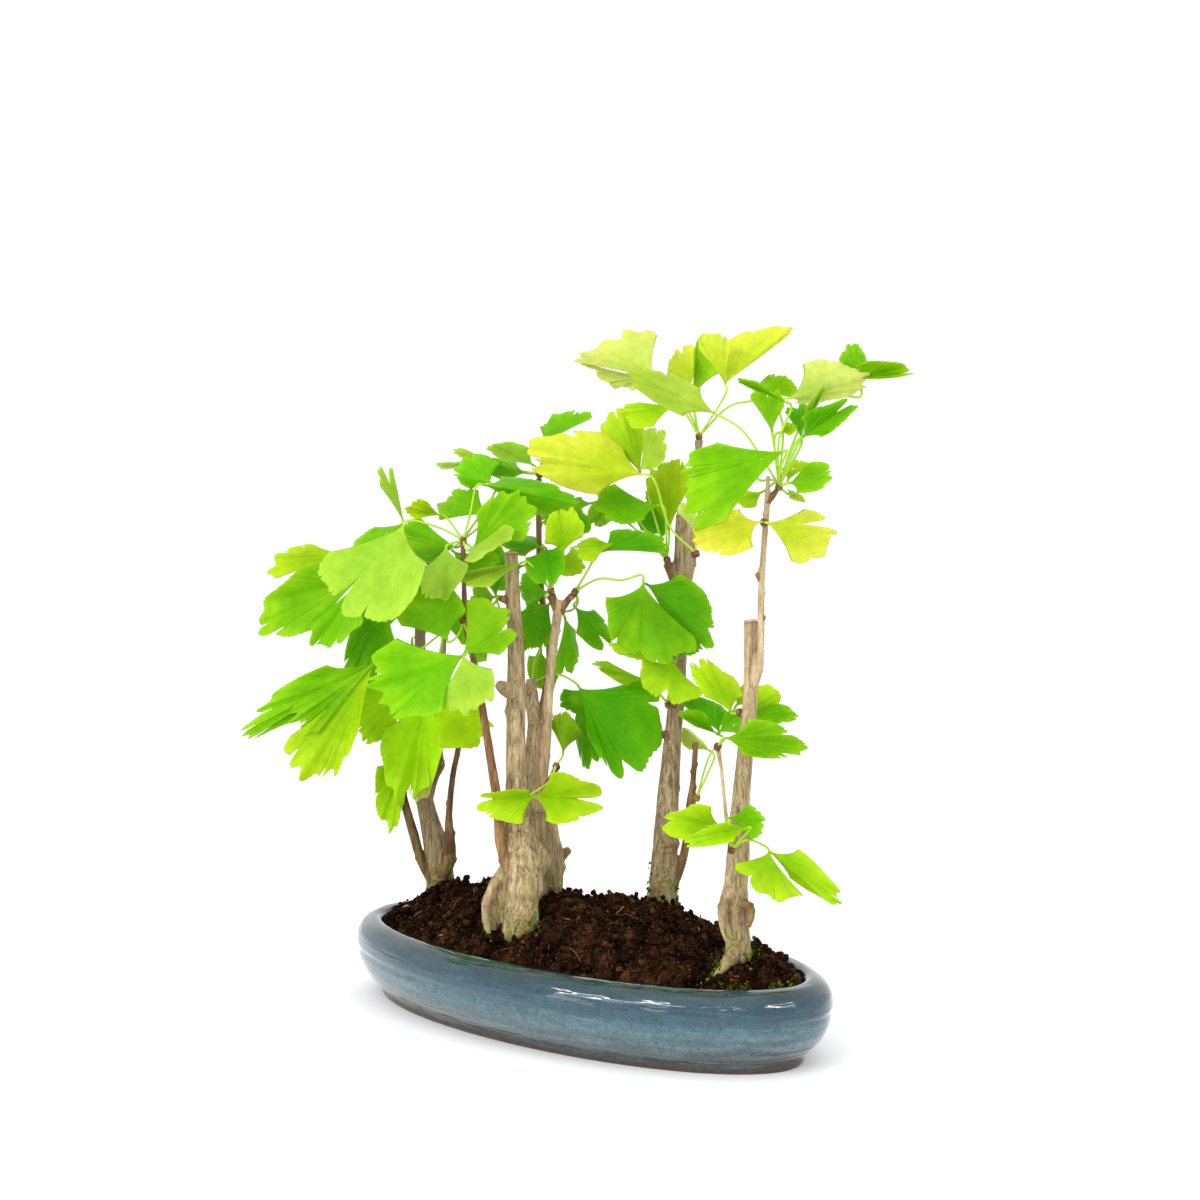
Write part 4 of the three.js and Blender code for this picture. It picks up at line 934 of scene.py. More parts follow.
@dataclass
class SoilBed:
    """The mounded soil with its crumbs, fibres and moss.

    A heap is x, y, lift and spread in mm, and under_wall is inset and height.
    """

    oval: Oval = field(default_factory=Oval)
    rim_inset: float = 15.5
    edge_height: float = 40.0
    crown: float = 22.0
    crown_power: float = 3.0
    roll: float = 0.9
    gap: float = 0.3
    heaps: Rows = (
        (-104, 12, 6, 22), (-64, 30, 6, 26), (24, 32, 5, 24), (-16, -34, -3, 14), (112, 5, 6, 17),
        (98, -17, -4, 13),
    )
    under_wall: Rows = (
        (149.0, 6.8), (80, 6.8), (23.3, 6.8), (17.42, 10.8), (12.86, 17), (10.42, 26), (12.42, 32),
        (15.8, 36),
    )
    rings: int = 104
    sides: int = 460
    clusters: int = 240
    grains: int = 1400
    dust: int = 10000
    twigs: int = 26
    fibres: int = 120
    foot_tufts: int = 620
    rim_tufts: int = 160
    bark_tufts: int = 520
    back_foot: tuple[float, float] = (24.0, 32.0)

    def height(self, x: Array, y: Array) -> Array:
        """The soil's smooth height: a flat-topped mound, heaps round the trunks and a low roll.

        The mound is its crown times 1 - out^3, out being 0 at the middle and 1 at the
        rim; a heap is a bell curve, and the roll a sum of sines that fades at the rim.

        Args:
            x: Places along the tray in mm.
            y: Places across it in mm.

        Returns:
            Heights in mm.
        """
        out = np.minimum(1.0, self.oval.share(x, y, self.rim_inset))
        rise = 1.0 - out ** self.crown_power
        height = self.edge_height + self.crown * rise
        for heap_x, heap_y, lift, spread in self.heaps:
            away = (x - heap_x) ** 2 + (y - heap_y) ** 2
            height = height + lift * np.minimum(1.0, 2.0 * rise) * np.exp(-away / spread ** 2)
        wave = np.sin(x / 4.8 + 1.3) * np.cos(y / 3.7 - 0.4) + np.sin(x / 9.0 - y / 6.2)
        return height + self.roll * wave * np.minimum(1.0, 3.0 * (1.0 - out))

    def crumbled(self, x: Array, y: Array) -> Array:
        """The height with clods laid over it, lower at the rim."""
        fade = ease(1.0, 0.9, np.minimum(1.0, self.oval.share(x, y, self.rim_inset)))
        return self.height(x, y) + self.clods(x, y) * (0.3 + 0.7 * fade) - 0.5

    def clods(self, x: Array, y: Array) -> Array:
        """How far clods of 8 mm down to grains of 1.6 mm stand above the smooth height, in mm.

        Noise of three sizes is added up, the middle one creased where it passes
        through zero.

        Args:
            x: Places along the tray in mm.
            y: Places across it in mm.

        Returns:
            Lifts in mm, below zero in a hollow.
        """
        flat = level(x, y)
        coarse, creased = 1.6 * noise(flat, 8.0, 3), 2.1 * np.abs(noise(flat, 3.6, 5))
        return coarse + creased + 0.8 * noise(flat, 1.6, 8) - 0.2

    def painted_relief_light(self, x: Array, y: Array) -> Array:
        """Painted light and shade by relief: how much lighter the soil is made on a clod's top, and darker in
        a hollow.
        """
        return (0.5 + 1.15 * ease(-0.9, 2.1, self.clods(x, y)))[..., None]

    def tint(self, points: Array, seed: int) -> Array:
        """Near-black brown peat with redder and drier patches.

        Args:
            points: Positions in mm.
            seed: Picks another pattern.

        Returns:
            A linear colour per point.
        """
        dark, red, dry = shade("#1a0f08"), shade("#382112"), shade("#5a3b23")
        tints = mix(dark, red, ease(-0.4, 0.7, noise(points, 5.0, seed)))
        return mix(tints, dry, 0.75 * ease(0.1, 0.9, noise(points, 1.8, seed + 1)))

    def spots(self, count: int, draw: np.random.Generator) -> tuple[Array, Array]:
        """Places spread evenly over the soil.

        Args:
            count: How many.
            draw: The random draw.

        Returns:
            x and y in mm.
        """
        out = np.sqrt(draw.uniform(0.0, 1.0, count)) * 0.985
        angle = draw.uniform(0.0, 2 * np.pi, count)
        along, across = self.oval.axes(np.asarray(self.rim_inset + 0.6, float))
        return out * along * np.cos(angle), out * across * np.sin(angle)

    def held(self, x: Array, y: Array, limit: float) -> tuple[Array, Array]:
        """Draws places that lie beyond limit, a share of the way to the rim, back to it."""
        over = np.maximum(1.0, self.oval.share(x, y, self.rim_inset) / limit)
        return x / over, y / over

    def bed(self) -> Surface:
        """The closed body of soil: under the wall's line, then rings of crumbled top to the middle.

        Returns:
            The body with its tint.
        """
        angle = circle(self.sides)[None, :]
        low = np.array(self.under_wall)
        x_low, y_low = self.oval.ring(low[:, :1], angle)
        z_low = np.broadcast_to(low[:, 1:], x_low.shape)
        start = self.rim_inset + self.gap
        inset = np.linspace(start, self.oval.half_length - 0.6, self.rings)[:, None]
        x_top, y_top = self.oval.ring(inset, angle)
        z_top = self.crumbled(x_top, y_top)
        grid = [np.vstack(pair) for pair in ((x_low, x_top), (y_low, y_top), (z_low, z_top))]
        top = float(self.crumbled(np.zeros(1), np.zeros(1))[0])
        body = capped(np.stack(grid, axis=-1), (low[0, 1] * UP, top * UP))
        # painted light and shade: the bed lighter on clod tops, darker in hollows
        painted_relief_light = self.painted_relief_light(body.points[:, 0], body.points[:, 1])
        body.marks = {"tint": self.tint(body.points, 11) * painted_relief_light}
        return body

    def grain_heap(self, draw: np.random.Generator) -> Surface:
        """Crumbs of 0.5 to 2.3 mm radius, clotted together by nines or loose, a few of them pale grit.

        Args:
            draw: The random draw.

        Returns:
            The crumbs.
        """
        clot_x, clot_y = self.spots(self.clusters, draw)
        together = np.repeat(np.stack([clot_x, clot_y], axis=-1), 9, axis=0)
        together = together + draw.normal(0.0, 1.25, together.shape)
        x, y = self.spots(self.grains, draw)
        x, y = np.concatenate([x, together[:, 0]]), np.concatenate([y, together[:, 1]])
        x, y = self.held(x, y, 0.985)
        radii = 0.5 + 1.8 * draw.uniform(0.0, 1.0, len(x)) ** 2.6
        piled = np.where(np.arange(len(x)) < self.grains, 0.3, draw.uniform(0.2, 2.0, len(x)))
        centres = np.stack([x, y, self.crumbled(x, y) + piled * radii], axis=-1)
        # painted light and shade by relief: crumbs lighter on clod tops, darker in hollows
        tints = self.tint(centres * 3.1, 21) * draw.uniform(0.5, 1.9, (len(x), 1)) * self.painted_relief_light(x, y)
        pale = draw.uniform(0.0, 1.0, len(x))
        tints = mix(tints, shade("#6b4a2c"), (pale > 0.95) * 0.6)
        return crumbs(centres, radii, tints, draw)

    def fine_grain(self, draw: np.random.Generator) -> Surface:
        """Grains of 0.42 to 1.05 mm radius over the whole bed, piled here and there.

        Args:
            draw: The random draw.

        Returns:
            The grains.
        """
        x, y = self.spots(self.dust, draw)
        x, y = self.held(x, y, 0.99)
        radii = 0.42 + 0.63 * draw.uniform(0.0, 1.0, len(x)) ** 1.5
        flat = level(x, y)
        heaped = 1.6 * ease(0.1, 0.8, noise(flat, 3.0, 51))
        piled = draw.uniform(0.1, 1.0, len(x)) + heaped * draw.uniform(0.0, 1.0, len(x))
        centres = np.stack([x, y, self.crumbled(x, y) + piled * radii], axis=-1)
        # painted light and shade by relief: grains lighter on clod tops, darker in hollows
        tints = self.tint(centres * 4.3, 23) * draw.uniform(0.4, 2.2, (len(x), 1)) * self.painted_relief_light(x, y)
        warm = draw.uniform(0.0, 1.0, len(x))
        tints = mix(tints, shade("#6b4526"), (warm > 0.92) * 0.8)
        return crumbs(centres, radii, tints, draw, (0.55, 1.35), fine=True)

    def fibre_litter(self, draw: np.random.Generator) -> Surface:
        """Coir fibres and rootlets: three-sided hairs in slack arcs lying on the crumbs.

        A hair's points are its middle plus its direction, a sideways bow that
        grows with the square of the run, and a low arch.

        Args:
            draw: The random draw.

        Returns:
            The fibres, the stoutest first.
        """
        count, steps, sides = self.fibres, 8, 3
        x, y = self.spots(count, draw)
        heading = draw.uniform(0.0, 2 * np.pi, count)[:, None]
        length = (3.0 + 13.0 * draw.uniform(0.0, 1.0, count) ** 2.0)[:, None]
        bow = draw.uniform(-0.35, 0.35, count)[:, None]
        run = np.linspace(-0.5, 0.5, steps)[None, :]
        px = x[:, None] * 0.97 + length * (run * np.cos(heading) - bow * run ** 2 * np.sin(heading))
        py = y[:, None] * 0.97 + length * (run * np.sin(heading) + bow * run ** 2 * np.cos(heading))
        px, py = self.held(px, py, 0.97)
        arch = draw.uniform(0.0, 1.6, count)[:, None] * (1.0 - 4.0 * run ** 2)
        pz = self.crumbled(px, py) + 0.45 + arch
        path = np.stack([px, py, pz], axis=-1)
        along = unit(np.gradient(path, axis=1))
        side = unit(np.cross(along, UP))
        lift = np.cross(along, side)
        stout = (np.arange(count) < self.twigs)[:, None]
        twig, hair = (draw.uniform(*span, count)[:, None] for span in ((0.35, 0.6), (0.12, 0.26)))
        thick = np.where(stout, twig, hair)
        thick = thick * (1.0 - 1.6 * run ** 2)
        angle = circle(sides)
        spoke = (np.cos(angle)[:, None] * side[:, :, None] + np.sin(angle)[:, None] * lift[:, :, None])
        points = path[:, :, None] + thick[:, :, None, None] * spoke
        starts = (steps * sides) * np.arange(count)[:, None, None]
        quads = ring_quads(steps, sides)[None] + starts
        first = np.array([[0, 2, 1]])[None] + starts
        final = np.array([[0, 1, 2]])[None] + (steps - 1) * sides + starts
        palette = np.array([shade(code) for code in (
            "#6a3a1e", "#4a2a18", "#8f6238", "#a98452", "#7a4a24", "#96682e", "#c2a670")])
        tints = palette[draw.choice(len(palette), count, p=(0.3, 0.24, 0.14, 0.06, 0.18, 0.06, 0.02))]
        tints = np.where(stout, palette[3 + np.arange(count) % 4], tints)
        return Surface(points.reshape(-1, 3), quads.reshape(-1, 4),
                       np.vstack([first.reshape(-1, 3), final.reshape(-1, 3)]),
                       {"tint": np.repeat(tints, steps * sides, axis=0)})

    def moss(self, feet: Array, draw: np.random.Generator) -> Surface:
        """Moss cushions round and up the trunks' feet and along the rim at the right.

        Args:
            feet: x, y and radius in mm of each trunk where it meets the soil.
            draw: The random draw.

        Returns:
            The moss, tuft by tuft.
        """
        count = self.foot_tufts
        picked = feet[draw.integers(0, len(feet), count)]
        angle = draw.uniform(0.0, 2 * np.pi, count)
        away = picked[:, 2] + np.abs(draw.normal(0.0, 2.6, count)) - 0.4
        x, y = picked[:, 0] + away * np.cos(angle), picked[:, 1] + away * np.sin(angle)
        rim_angle = draw.uniform(-0.55, 0.35, self.rim_tufts)
        inset = self.rim_inset + 2.0 + draw.uniform(0, 3, self.rim_tufts)
        rim_x, rim_y = self.oval.ring(inset, rim_angle)
        x, y = np.concatenate([x, rim_x]), np.concatenate([y, rim_y])
        patchy = noise(level(x, y), 5.0, 31) > 0.08
        x, y = x[patchy], y[patchy]
        centres = np.stack([x, y, self.crumbled(x, y) + 0.4], axis=-1)
        centres = np.vstack([centres, self.climbing(feet, draw)])
        radii = draw.uniform(0.35, 0.95, len(centres))
        greens = np.array([shade(code) for code in ("#3f5c14", "#587a1c", "#74902c", "#324a10")])
        return crumbs(centres, radii, greens[draw.integers(0, 4, len(centres))], draw, (0.5, 1.5))

    def climbing(self, feet: Array, draw: np.random.Generator) -> Array:
        """Places of moss tufts on the bark of the feet, fewer the higher, most on the back trunk.

        Args:
            feet: x, y and radius in mm of each trunk where it meets the soil.
            draw: The random draw.

        Returns:
            Positions in mm.
        """
        count = self.bark_tufts
        back = np.exp(-((feet[:, :2] - self.back_foot) ** 2).sum(1) / 15.0 ** 2)
        share = (1.0 + 3.0 * back) / (1.0 + 3.0 * back).sum()
        chosen = draw.choice(len(feet), count, p=share)
        picked = feet[chosen]
        turn = draw.uniform(0.0, 2 * np.pi, count)
        x = picked[:, 0] + (picked[:, 2] + 0.5) * np.cos(turn)
        y = picked[:, 1] + (picked[:, 2] + 0.5) * np.sin(turn)
        rise = np.minimum(draw.exponential(1.0, count), 2.8) * (4.0 + 5.0 * back[chosen])
        places = np.stack([x, y, self.height(picked[:, 0], picked[:, 1]) + rise], axis=-1)
        return places[noise(places, 3.4, 33) > 0.0]

    def build(self, feet: Array) -> list[Piece]:
        """Makes the bed, its crumbs, its fibres and the moss, all in place of the plain soil.

        Args:
            feet: x, y and radius in mm of each trunk where it meets the soil.

        Returns:
            The five pieces.
        """
        draw = np.random.default_rng(7)
        peat = GroundMatter("potting soil, peat and bark fines, damp", 0.9, 0.95, "#54443a").mix()
        coir = GroundMatter("coir fibres and rootlets, dry", 0.8, 0.75, "#a08c78").mix()
        green = GroundMatter("moss cushions, short and soft", 0.6, 0.9, "#5d7040").mix()
        pieces = [
            write_mesh("soil_bed", self.bed(), [peat]),
            write_mesh("soil_clods", self.grain_heap(draw), [peat]),
            write_mesh("soil_crumbs", self.fine_grain(draw), [peat]),
            write_mesh("soil_fibres", self.fibre_litter(draw), [coir]),
            write_mesh("soil_moss", self.moss(feet, draw), [green]),
        ]
        for piece in pieces:
            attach(piece, "root")
        for piece in pieces[:3]:
            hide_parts("soil")
        return pieces


# ---------------------------------------------------------------- wood
class Wood(Enum):
    """The three kinds of wood on the trees."""

    OLD = "old trunk, corky and fissured"
    PALE = "pale shoot, smooth tan skin"
    BROWN = "young shoot, red-brown skin"


@dataclass(frozen=True)
class Stem:
    """A stem through marks [x, y, depth, width] on the front drawing, from foot to tip."""

    wood: Wood
    marks: Rows

    def carried(self, root_depth: float | None, spacing: float) -> tuple[Array, Array]:
        """The stem's path in mm and its radius at each sample.

        Args:
            root_depth: Where a rooted stem ends straight down in the soil, or None.
            spacing: The distance between samples in mm.

        Returns:
            Points and radii in mm.
        """
        marks = np.array(self.marks, float)
        places = DRAWING.place(marks[:, :3])
        radii = marks[:, 3] * DRAWING.scale(marks[:, 2]) / 2.0
        if root_depth is not None:
            foot = np.array([[places[0, 0], places[0, 1], root_depth]])
            places, radii = np.vstack([foot, places]), np.concatenate([[radii[0] * 0.9], radii])
        path = smooth_path(places, spacing)
        run = np.concatenate([[0.0], np.cumsum(np.linalg.norm(np.diff(places, axis=0), axis=1))])
        return path, np.interp(np.linspace(0.0, run[-1], len(path)), run, radii)


TREES: tuple[tuple[str, tuple[Stem, ...]], ...] = (
    ("tree_left", (  # a clump of three thin trunks
        Stem(Wood.OLD, ((441, 886, -62, 30), (438, 855, -60, 26), (428, 815, -58, 19), (423, 790, -57, 16),
            (420, 720, -56, 13), (420, 640, -55, 11), (421, 590, -54, 9), (427, 566, -52, 7))),
        Stem(Wood.BROWN, ((434, 884, -58, 9), (424, 868, -56, 9), (413, 832, -55, 10), (402, 792, -56, 8),
            (393, 745, -60, 7), (389, 705, -62, 6))),
        Stem(Wood.BROWN, ((440, 880, -56, 14), (449, 858, -52, 14), (449, 815, -49, 7), (453, 775, -47, 6),
            (459, 742, -46, 6), (457, 712, -50, 5))),
        Stem(Wood.OLD, ((427, 806, -57, 10), (432, 782, -53, 11), (438, 765, -52, 10), (439, 742, -51, 7),
            (437, 700, -50, 6), (442, 668, -48, 6), (444, 634, -48, 6))),
        Stem(Wood.BROWN, ((420.5, 640, -56, 6), (421, 641, -61, 6))),
    )),
    ("tree_middle", (  # the thick trunk, the short one behind it and their shoots
        Stem(Wood.OLD, ((521, 934, 28, 38), (521, 905, 25, 34), (522, 880, 21, 44), (520, 850, 18, 38),
            (517, 800, 15, 23), (516, 760, 14, 20), (516, 700, 13, 19), (516, 650, 13, 17),
            (513, 600, 12, 14.5), (511, 552, 12, 13))),
        Stem(Wood.OLD, ((512, 868, 18, 22), (497, 888, 20, 20), (494, 908, 22, 20), (493, 930, 24, 18))),
        Stem(Wood.OLD, ((497, 880, 27, 8), (487, 897, 31, 7), (485, 915, 33, 6), (489, 934, 34, 5))),
        Stem(Wood.OLD, ((546, 892, -14, 34), (547, 862, -10, 34), (543, 830, -6, 31), (541, 800, -4, 25))),
        Stem(Wood.OLD, ((538, 866, 4, 32), (528, 850, 12, 30))),
        Stem(Wood.BROWN, ((546, 862, -10, 18), (562, 856, -10, 10), (569, 849, -10, 7))),
        Stem(Wood.OLD, ((530, 812, 4, 16), (531, 760, 3, 13), (534, 722, 0, 13), (531, 694, -4, 15),
            (531, 679, -4, 9))),
        Stem(Wood.BROWN, ((532, 740, -1, 9), (543, 700, -8, 6), (549, 660, -12, 6), (546, 622, -14, 6),
            (541, 590, -14, 7), (539, 540, -12, 6), (539, 478, -8, 6))),
        Stem(Wood.PALE, ((537, 812, 3, 15), (545, 745, 4, 12), (548, 700, 4, 10), (552, 655, 4, 9),
            (556, 625, 3, 9), (560, 600, 3, 11))),
        Stem(Wood.BROWN, ((558, 614, 3, 8), (551, 594, 4, 9))),
        Stem(Wood.BROWN, ((560, 612, 3, 8), (568, 600, 5, 7), (572.5, 595, 7, 6.5))),
        Stem(Wood.BROWN, ((509, 872, 26, 12), (501, 845, 26, 11), (497, 800, 25, 10), (490, 755, 24, 9),
            (481, 700, 24, 8), (474, 662, 23, 7), (466, 626, 22, 7), (464, 585, 22, 5), (463, 545, 23, 5.5))),
        Stem(Wood.OLD, ((513, 694, 14, 14), (504, 688, 22, 15), (499, 684, 26, 9))),
        Stem(Wood.BROWN, ((510, 602, 12, 7), (500, 598, 17, 7))),
        Stem(Wood.BROWN, ((543, 794, 4, 10), (552, 778, 8, 8), (556, 768, 11, 6))),
        Stem(Wood.BROWN, ((514, 645, 11, 7), (514, 645, 5, 6))),
        Stem(Wood.BROWN, ((541, 573, -14, 5), (541, 573, -18, 5))),
    )),
    ("tree_back", (  # the tall straight trunk
        Stem(Wood.OLD, ((663, 890, 4, 29), (664, 868, 3, 27), (668, 800, 0, 22), (672, 745, -3, 18),
            (677, 695, -3, 16.5), (679, 655, -4, 16), (680, 600, -5, 16), (683, 514, -6, 14.5))),
        Stem(Wood.BROWN, ((673, 742, -2, 9), (663, 732, 2, 7))),
        Stem(Wood.OLD, ((679, 676, -2, 12), (681, 658, 3, 11))),
        Stem(Wood.BROWN, ((677, 592, -5, 8), (671, 574, -5, 8), (667, 563, -5, 9))),
        Stem(Wood.PALE, ((681, 622, -3, 8), (689, 582, -2, 6.5), (692, 557, -2, 9), (692, 520, -4, 5.5),
            (693, 489, -4, 6.5), (698, 454, -4, 6), (699, 440, -4, 9))),
        Stem(Wood.BROWN, ((672, 886, 6, 12), (682, 862, 6, 9), (688, 832, 5, 8), (691, 804, 4, 10),
            (693, 782, 4, 6), (696, 742, 4, 6))),
        Stem(Wood.BROWN, ((692, 800, 5, 7), (696.5, 797, 8.5, 6))),
        Stem(Wood.BROWN, ((676, 704, -1, 8), (668.5, 704, 7, 6))),
        Stem(Wood.BROWN, ((692.5, 556, -2, 7), (695.5, 553.5, 1.5, 6))),
    )),
    ("tree_right", (  # the cut trunk at the tray's end with its long side shoot
        Stem(Wood.OLD, ((739, 962, 80, 29), (738, 935, 80, 25), (734, 908, 80, 31), (736, 885, 80, 24),
            (738, 860, 80, 23.5), (741, 800, 79, 19), (745, 755, 78, 16.5), (750, 700, 78, 14.5),
            (751, 620, 78, 14.5))),
        Stem(Wood.OLD, ((738, 944, 84, 18), (729, 962, 88, 12), (718, 974, 92, 8), (710, 983, 95, 5))),
        Stem(Wood.OLD, ((727, 900, 86, 7), (721, 914, 89, 6), (722, 930, 90, 4), (728, 944, 90, 4))),
        Stem(Wood.BROWN, ((744, 902, 88, 5), (752, 912, 89, 5), (749, 926, 90, 4))),
        Stem(Wood.PALE, ((751, 692, 78, 10), (759, 668, 82, 9), (761, 640, 84, 7.5), (761, 600, 84, 7),
            (764, 545, 84, 6), (767, 505, 83, 6.5), (768, 476, 81, 4))),
        Stem(Wood.BROWN, ((767, 504, 83, 6), (772, 497, 83, 6.5), (777, 490, 84, 6))),
        Stem(Wood.BROWN, ((761, 582, 84, 5), (756, 573, 85, 4.5))),
        Stem(Wood.BROWN, ((761, 624, 84, 5), (765, 616, 85, 4))),
        Stem(Wood.PALE, ((736, 856, 84, 8), (731, 843, 90, 5.5), (726, 815, 91, 4.2), (723, 785, 91, 4.4),
            (721, 766, 89, 4), (718, 750, 87, 6))),
        Stem(Wood.BROWN, ((750, 720, 77, 7), (742, 714, 74, 5.5))),
        Stem(Wood.BROWN, ((731, 846, 90.5, 5.5), (732, 849, 95, 5))),
        Stem(Wood.BROWN, ((765.5, 522, 83.5, 6), (764.5, 522, 87, 5))),
    )),
)


@dataclass
class Trees:
    """The four rooted clumps, each of its stems grown together into one skin of bark.

    A burr is x, y and depth on the drawing, and radius and height in mm; one of
    negative height is a cleft between two roots. Girths over stout get the
    trunk's sides. moss_height is in mm, and the brightness factor of each clump
    is painted light and shade on its whole bark, the clumps at the back darker.
    """

    soil: SoilBed
    root_depth: float = 14.0
    voxel: float = 0.73
    trunk_sides: int = 30
    shoot_sides: int = 16
    stout: float = 3.2
    block: int = 4096
    spacing: float = 1.2
    clump_light_and_shade: tuple[float, ...] = (0.68, 1.12, 0.82, 1.12)
    moss_height: tuple[float, ...] = (17.0, 17.0, 32.0, 17.0)
    burrs: dict[str, Rows] = field(default_factory=lambda: {
        "tree_left": ((438, 765, -50, 4.0, 1.6), (436, 880, -52, 5.0, 1.2)),
        "tree_middle": (
            (505, 690, 34, 3.4, 1.6), (531, 679, 34, 4.2, 1.0), (569, 849, -4, 4.2, 2.2),
            (548, 880, -8, 5.0, 1.4), (491, 905, 30, 4.0, 1.6), (536, 905, 36, 5.0, 1.4),
            (520, 925, 38, 5.0, 1.2), (488, 922, 30, 4.0, 1.6), (498, 884, 32, 3.4, 1.4),
            (507, 880, 36, 2.4, -1.5), (506, 889, 36, 2.6, -1.9), (505, 898, 36, 2.6, -2.1),
            *((504 - step, 907 + 9 * step, 36, 2.6, -2.2) for step in range(4)),
        ),
        "tree_back": ((668, 850, 10, 5.0, 1.0), (655, 884, 12, 5.0, 1.2)),
        "tree_right": (
            (723, 906, 90, 3.6, 2.2), (737, 912, 91, 3.6, 2.2), (750, 904, 88, 3.6, 2.0),
            (744, 922, 90, 3.2, 1.5), (730, 924, 90, 3.0, 1.6), (731, 895, 90, 2.4, -1.4),
            (745, 896, 89, 2.4, -1.2), (745, 948, 90, 4.5, 1.2), (727, 958, 90, 4.0, 1.4),
        ),
    })

    def paths(self, stems: Sequence[Stem]) -> Paths:
        """Each stem's path and radii in mm; a clump's first stem stands in the soil."""
        return [stem.carried(self.root_depth if index == 0 else None, self.spacing)
                for index, stem in enumerate(stems)]

    def feet(self) -> Array:
        """Where the first three stems of each clump pass through the soil.

        Returns:
            x, y and radius in mm, a row for each.
        """
        found = []
        for _, stems in TREES:
            for path, radii in self.paths(stems)[:3]:
                ground = self.soil.height(path[:, 0], path[:, 1])
                near = int(np.argmin(np.abs(path[:, 2] - ground)))
                if abs(path[near, 2] - ground[near]) < 4.0:
                    found.append((path[near, 0], path[near, 1], radii[near]))
        return np.array(found)

    def grown_together(self, paths: Paths) -> tuple[Array, Array, Array]:
        """One skin round all the stems: voxel remeshed tubes with softened junctions.

        Args:
            paths: Each stem's path and radii in mm.

        Returns:
            Points in mm, normals and quads.
        """
        bars = [tube(path, radii, self.trunk_sides if radii.max() > self.stout else self.shoot_sides)
                for path, radii in paths]
        whole, _ = join(bars)
        core = write_mesh("core", whole, [])
        skin = core.modifiers.new("skin", "REMESH")
        skin.mode, skin.voxel_size = "VOXEL", self.voxel * MM
        soften = core.modifiers.new("soften", "SMOOTH")
        soften.factor, soften.iterations = 0.5, 3
        return settle(core)

    def nearest(self, points: Array, paths: Paths) -> tuple[Array, Array, Array]:
        """For each point the stem whose skin is nearest.

        Args:
            points: Positions in mm.
            paths: Each stem's path and radii in mm.

        Returns:
            The stem's index, its radius there, and how far the point is from the
            stem's tip, in mm.
        """
        centres = np.vstack([path for path, _ in paths])
        girths = np.concatenate([radii for _, radii in paths])
        owners = np.concatenate([np.full(len(path), index) for index, (path, _) in enumerate(paths)])
        tips = np.vstack([np.repeat(path[-1:], len(path), axis=0) for path, _ in paths])
        best = np.empty(len(points), int)
        for start in range(0, len(points), self.block):
            block = points[start:start + self.block]
            away = np.sqrt(np.maximum(
                (block ** 2).sum(1)[:, None] + (centres ** 2).sum(1)[None] - 2.0 * block @ centres.T, 0.0))
            best[start:start + self.block] = np.argmin(away - girths[None], axis=1)
        return owners[best], girths[best], np.linalg.norm(points - tips[best], axis=1)

    def burr_share(self, node: str, points: Array) -> tuple[Array, Array, Array]:
        """The clump's burrs and clefts, as rounded bumps and dents broken up by noise.

        Args:
            node: The clump's name.
            points: Positions in mm.

        Returns:
            How far each point is lifted, in mm, and how much of it, from 0 to 1, is
            burr and is cleft; the cleft share is used to paint shade into the clefts.
        """
        lift, burr, cleft = np.zeros(len(points)), np.zeros(len(points)), np.zeros(len(points))
        for x, y, depth, radius, height in self.burrs[node]:
            away = np.linalg.norm(points - DRAWING.place(np.array((x, y, depth))), axis=1)
            near = ease(1.9, 0.3, away / radius)
            lift = lift + height * near
            burr, cleft = np.maximum(burr, near * (height > 0)), np.maximum(cleft, near * (height < 0))
        scaly = 0.72 + 0.45 * noise(points, (1.6, 1.6, 1.1), 91)
        return np.clip(lift, -2.4, 2.8) * scaly, burr * (1.0 - cleft), cleft

    def roughened(self, points: Array, normals: Array, girth: Array, paths: Paths,
                  seed: int) -> tuple[Array, Array]:
        """Lumps, upright fissures and bud scars raised from and cut into the skin.

        The skin moves along its normal by slow noise, less a fissure where stretched
        noise passes through zero, plus a rounded bump at each bud scar.

        Args:
            points: Positions in mm.
            normals: The skin's outward directions.
            girth: The stem's radius at each point.
            paths: Each stem's path and radii in mm.
            seed: Picks another pattern.

        Returns:
            The moved points and how deep in a fissure each lies, 0 to 1.
        """
        corky = ease(1.8, 5.0, girth)
        above = points[:, 2] - self.soil.height(points[:, 0], points[:, 1])
        gnarled = corky * (0.3 + 0.9 * ease(38.0, 6.0, above))
        lumps = 0.5 * noise(points, 8.0, seed) + 0.28 * noise(points, 3.2, seed + 1)
        fissure = ease(0.8, 1.0, 1.0 - np.abs(noise(points, (1.5, 1.5, 24.0), seed + 2)))
        fine = ease(0.82, 1.0, 1.0 - np.abs(noise(points, (0.9, 0.9, 9.0), seed + 3)))
        move = lumps * (0.12 + 0.8 * gnarled) - 0.22 * corky * fissure - 0.08 * (0.4 + corky) * fine
        draw = np.random.default_rng(seed)
        path, radii = np.vstack([p for p, _ in paths]), np.concatenate([r for _, r in paths])
        picked = draw.choice(len(path), max(8, len(path) // 12), replace=False)
        turn = draw.uniform(0.0, 2 * np.pi, len(picked))
        out = np.stack([np.cos(turn), np.sin(turn), np.zeros_like(turn)], axis=-1)
        scars = path[picked] + out * radii[picked, None]
        sizes = 0.8 + 0.22 * radii[picked]
        for scar, size in zip(scars, sizes):
            move = move + 0.55 * size * np.exp(-((points - scar) ** 2).sum(1) / size ** 2)
        return points + normals * move[:, None], np.maximum(fissure * corky, 0.5 * fine)

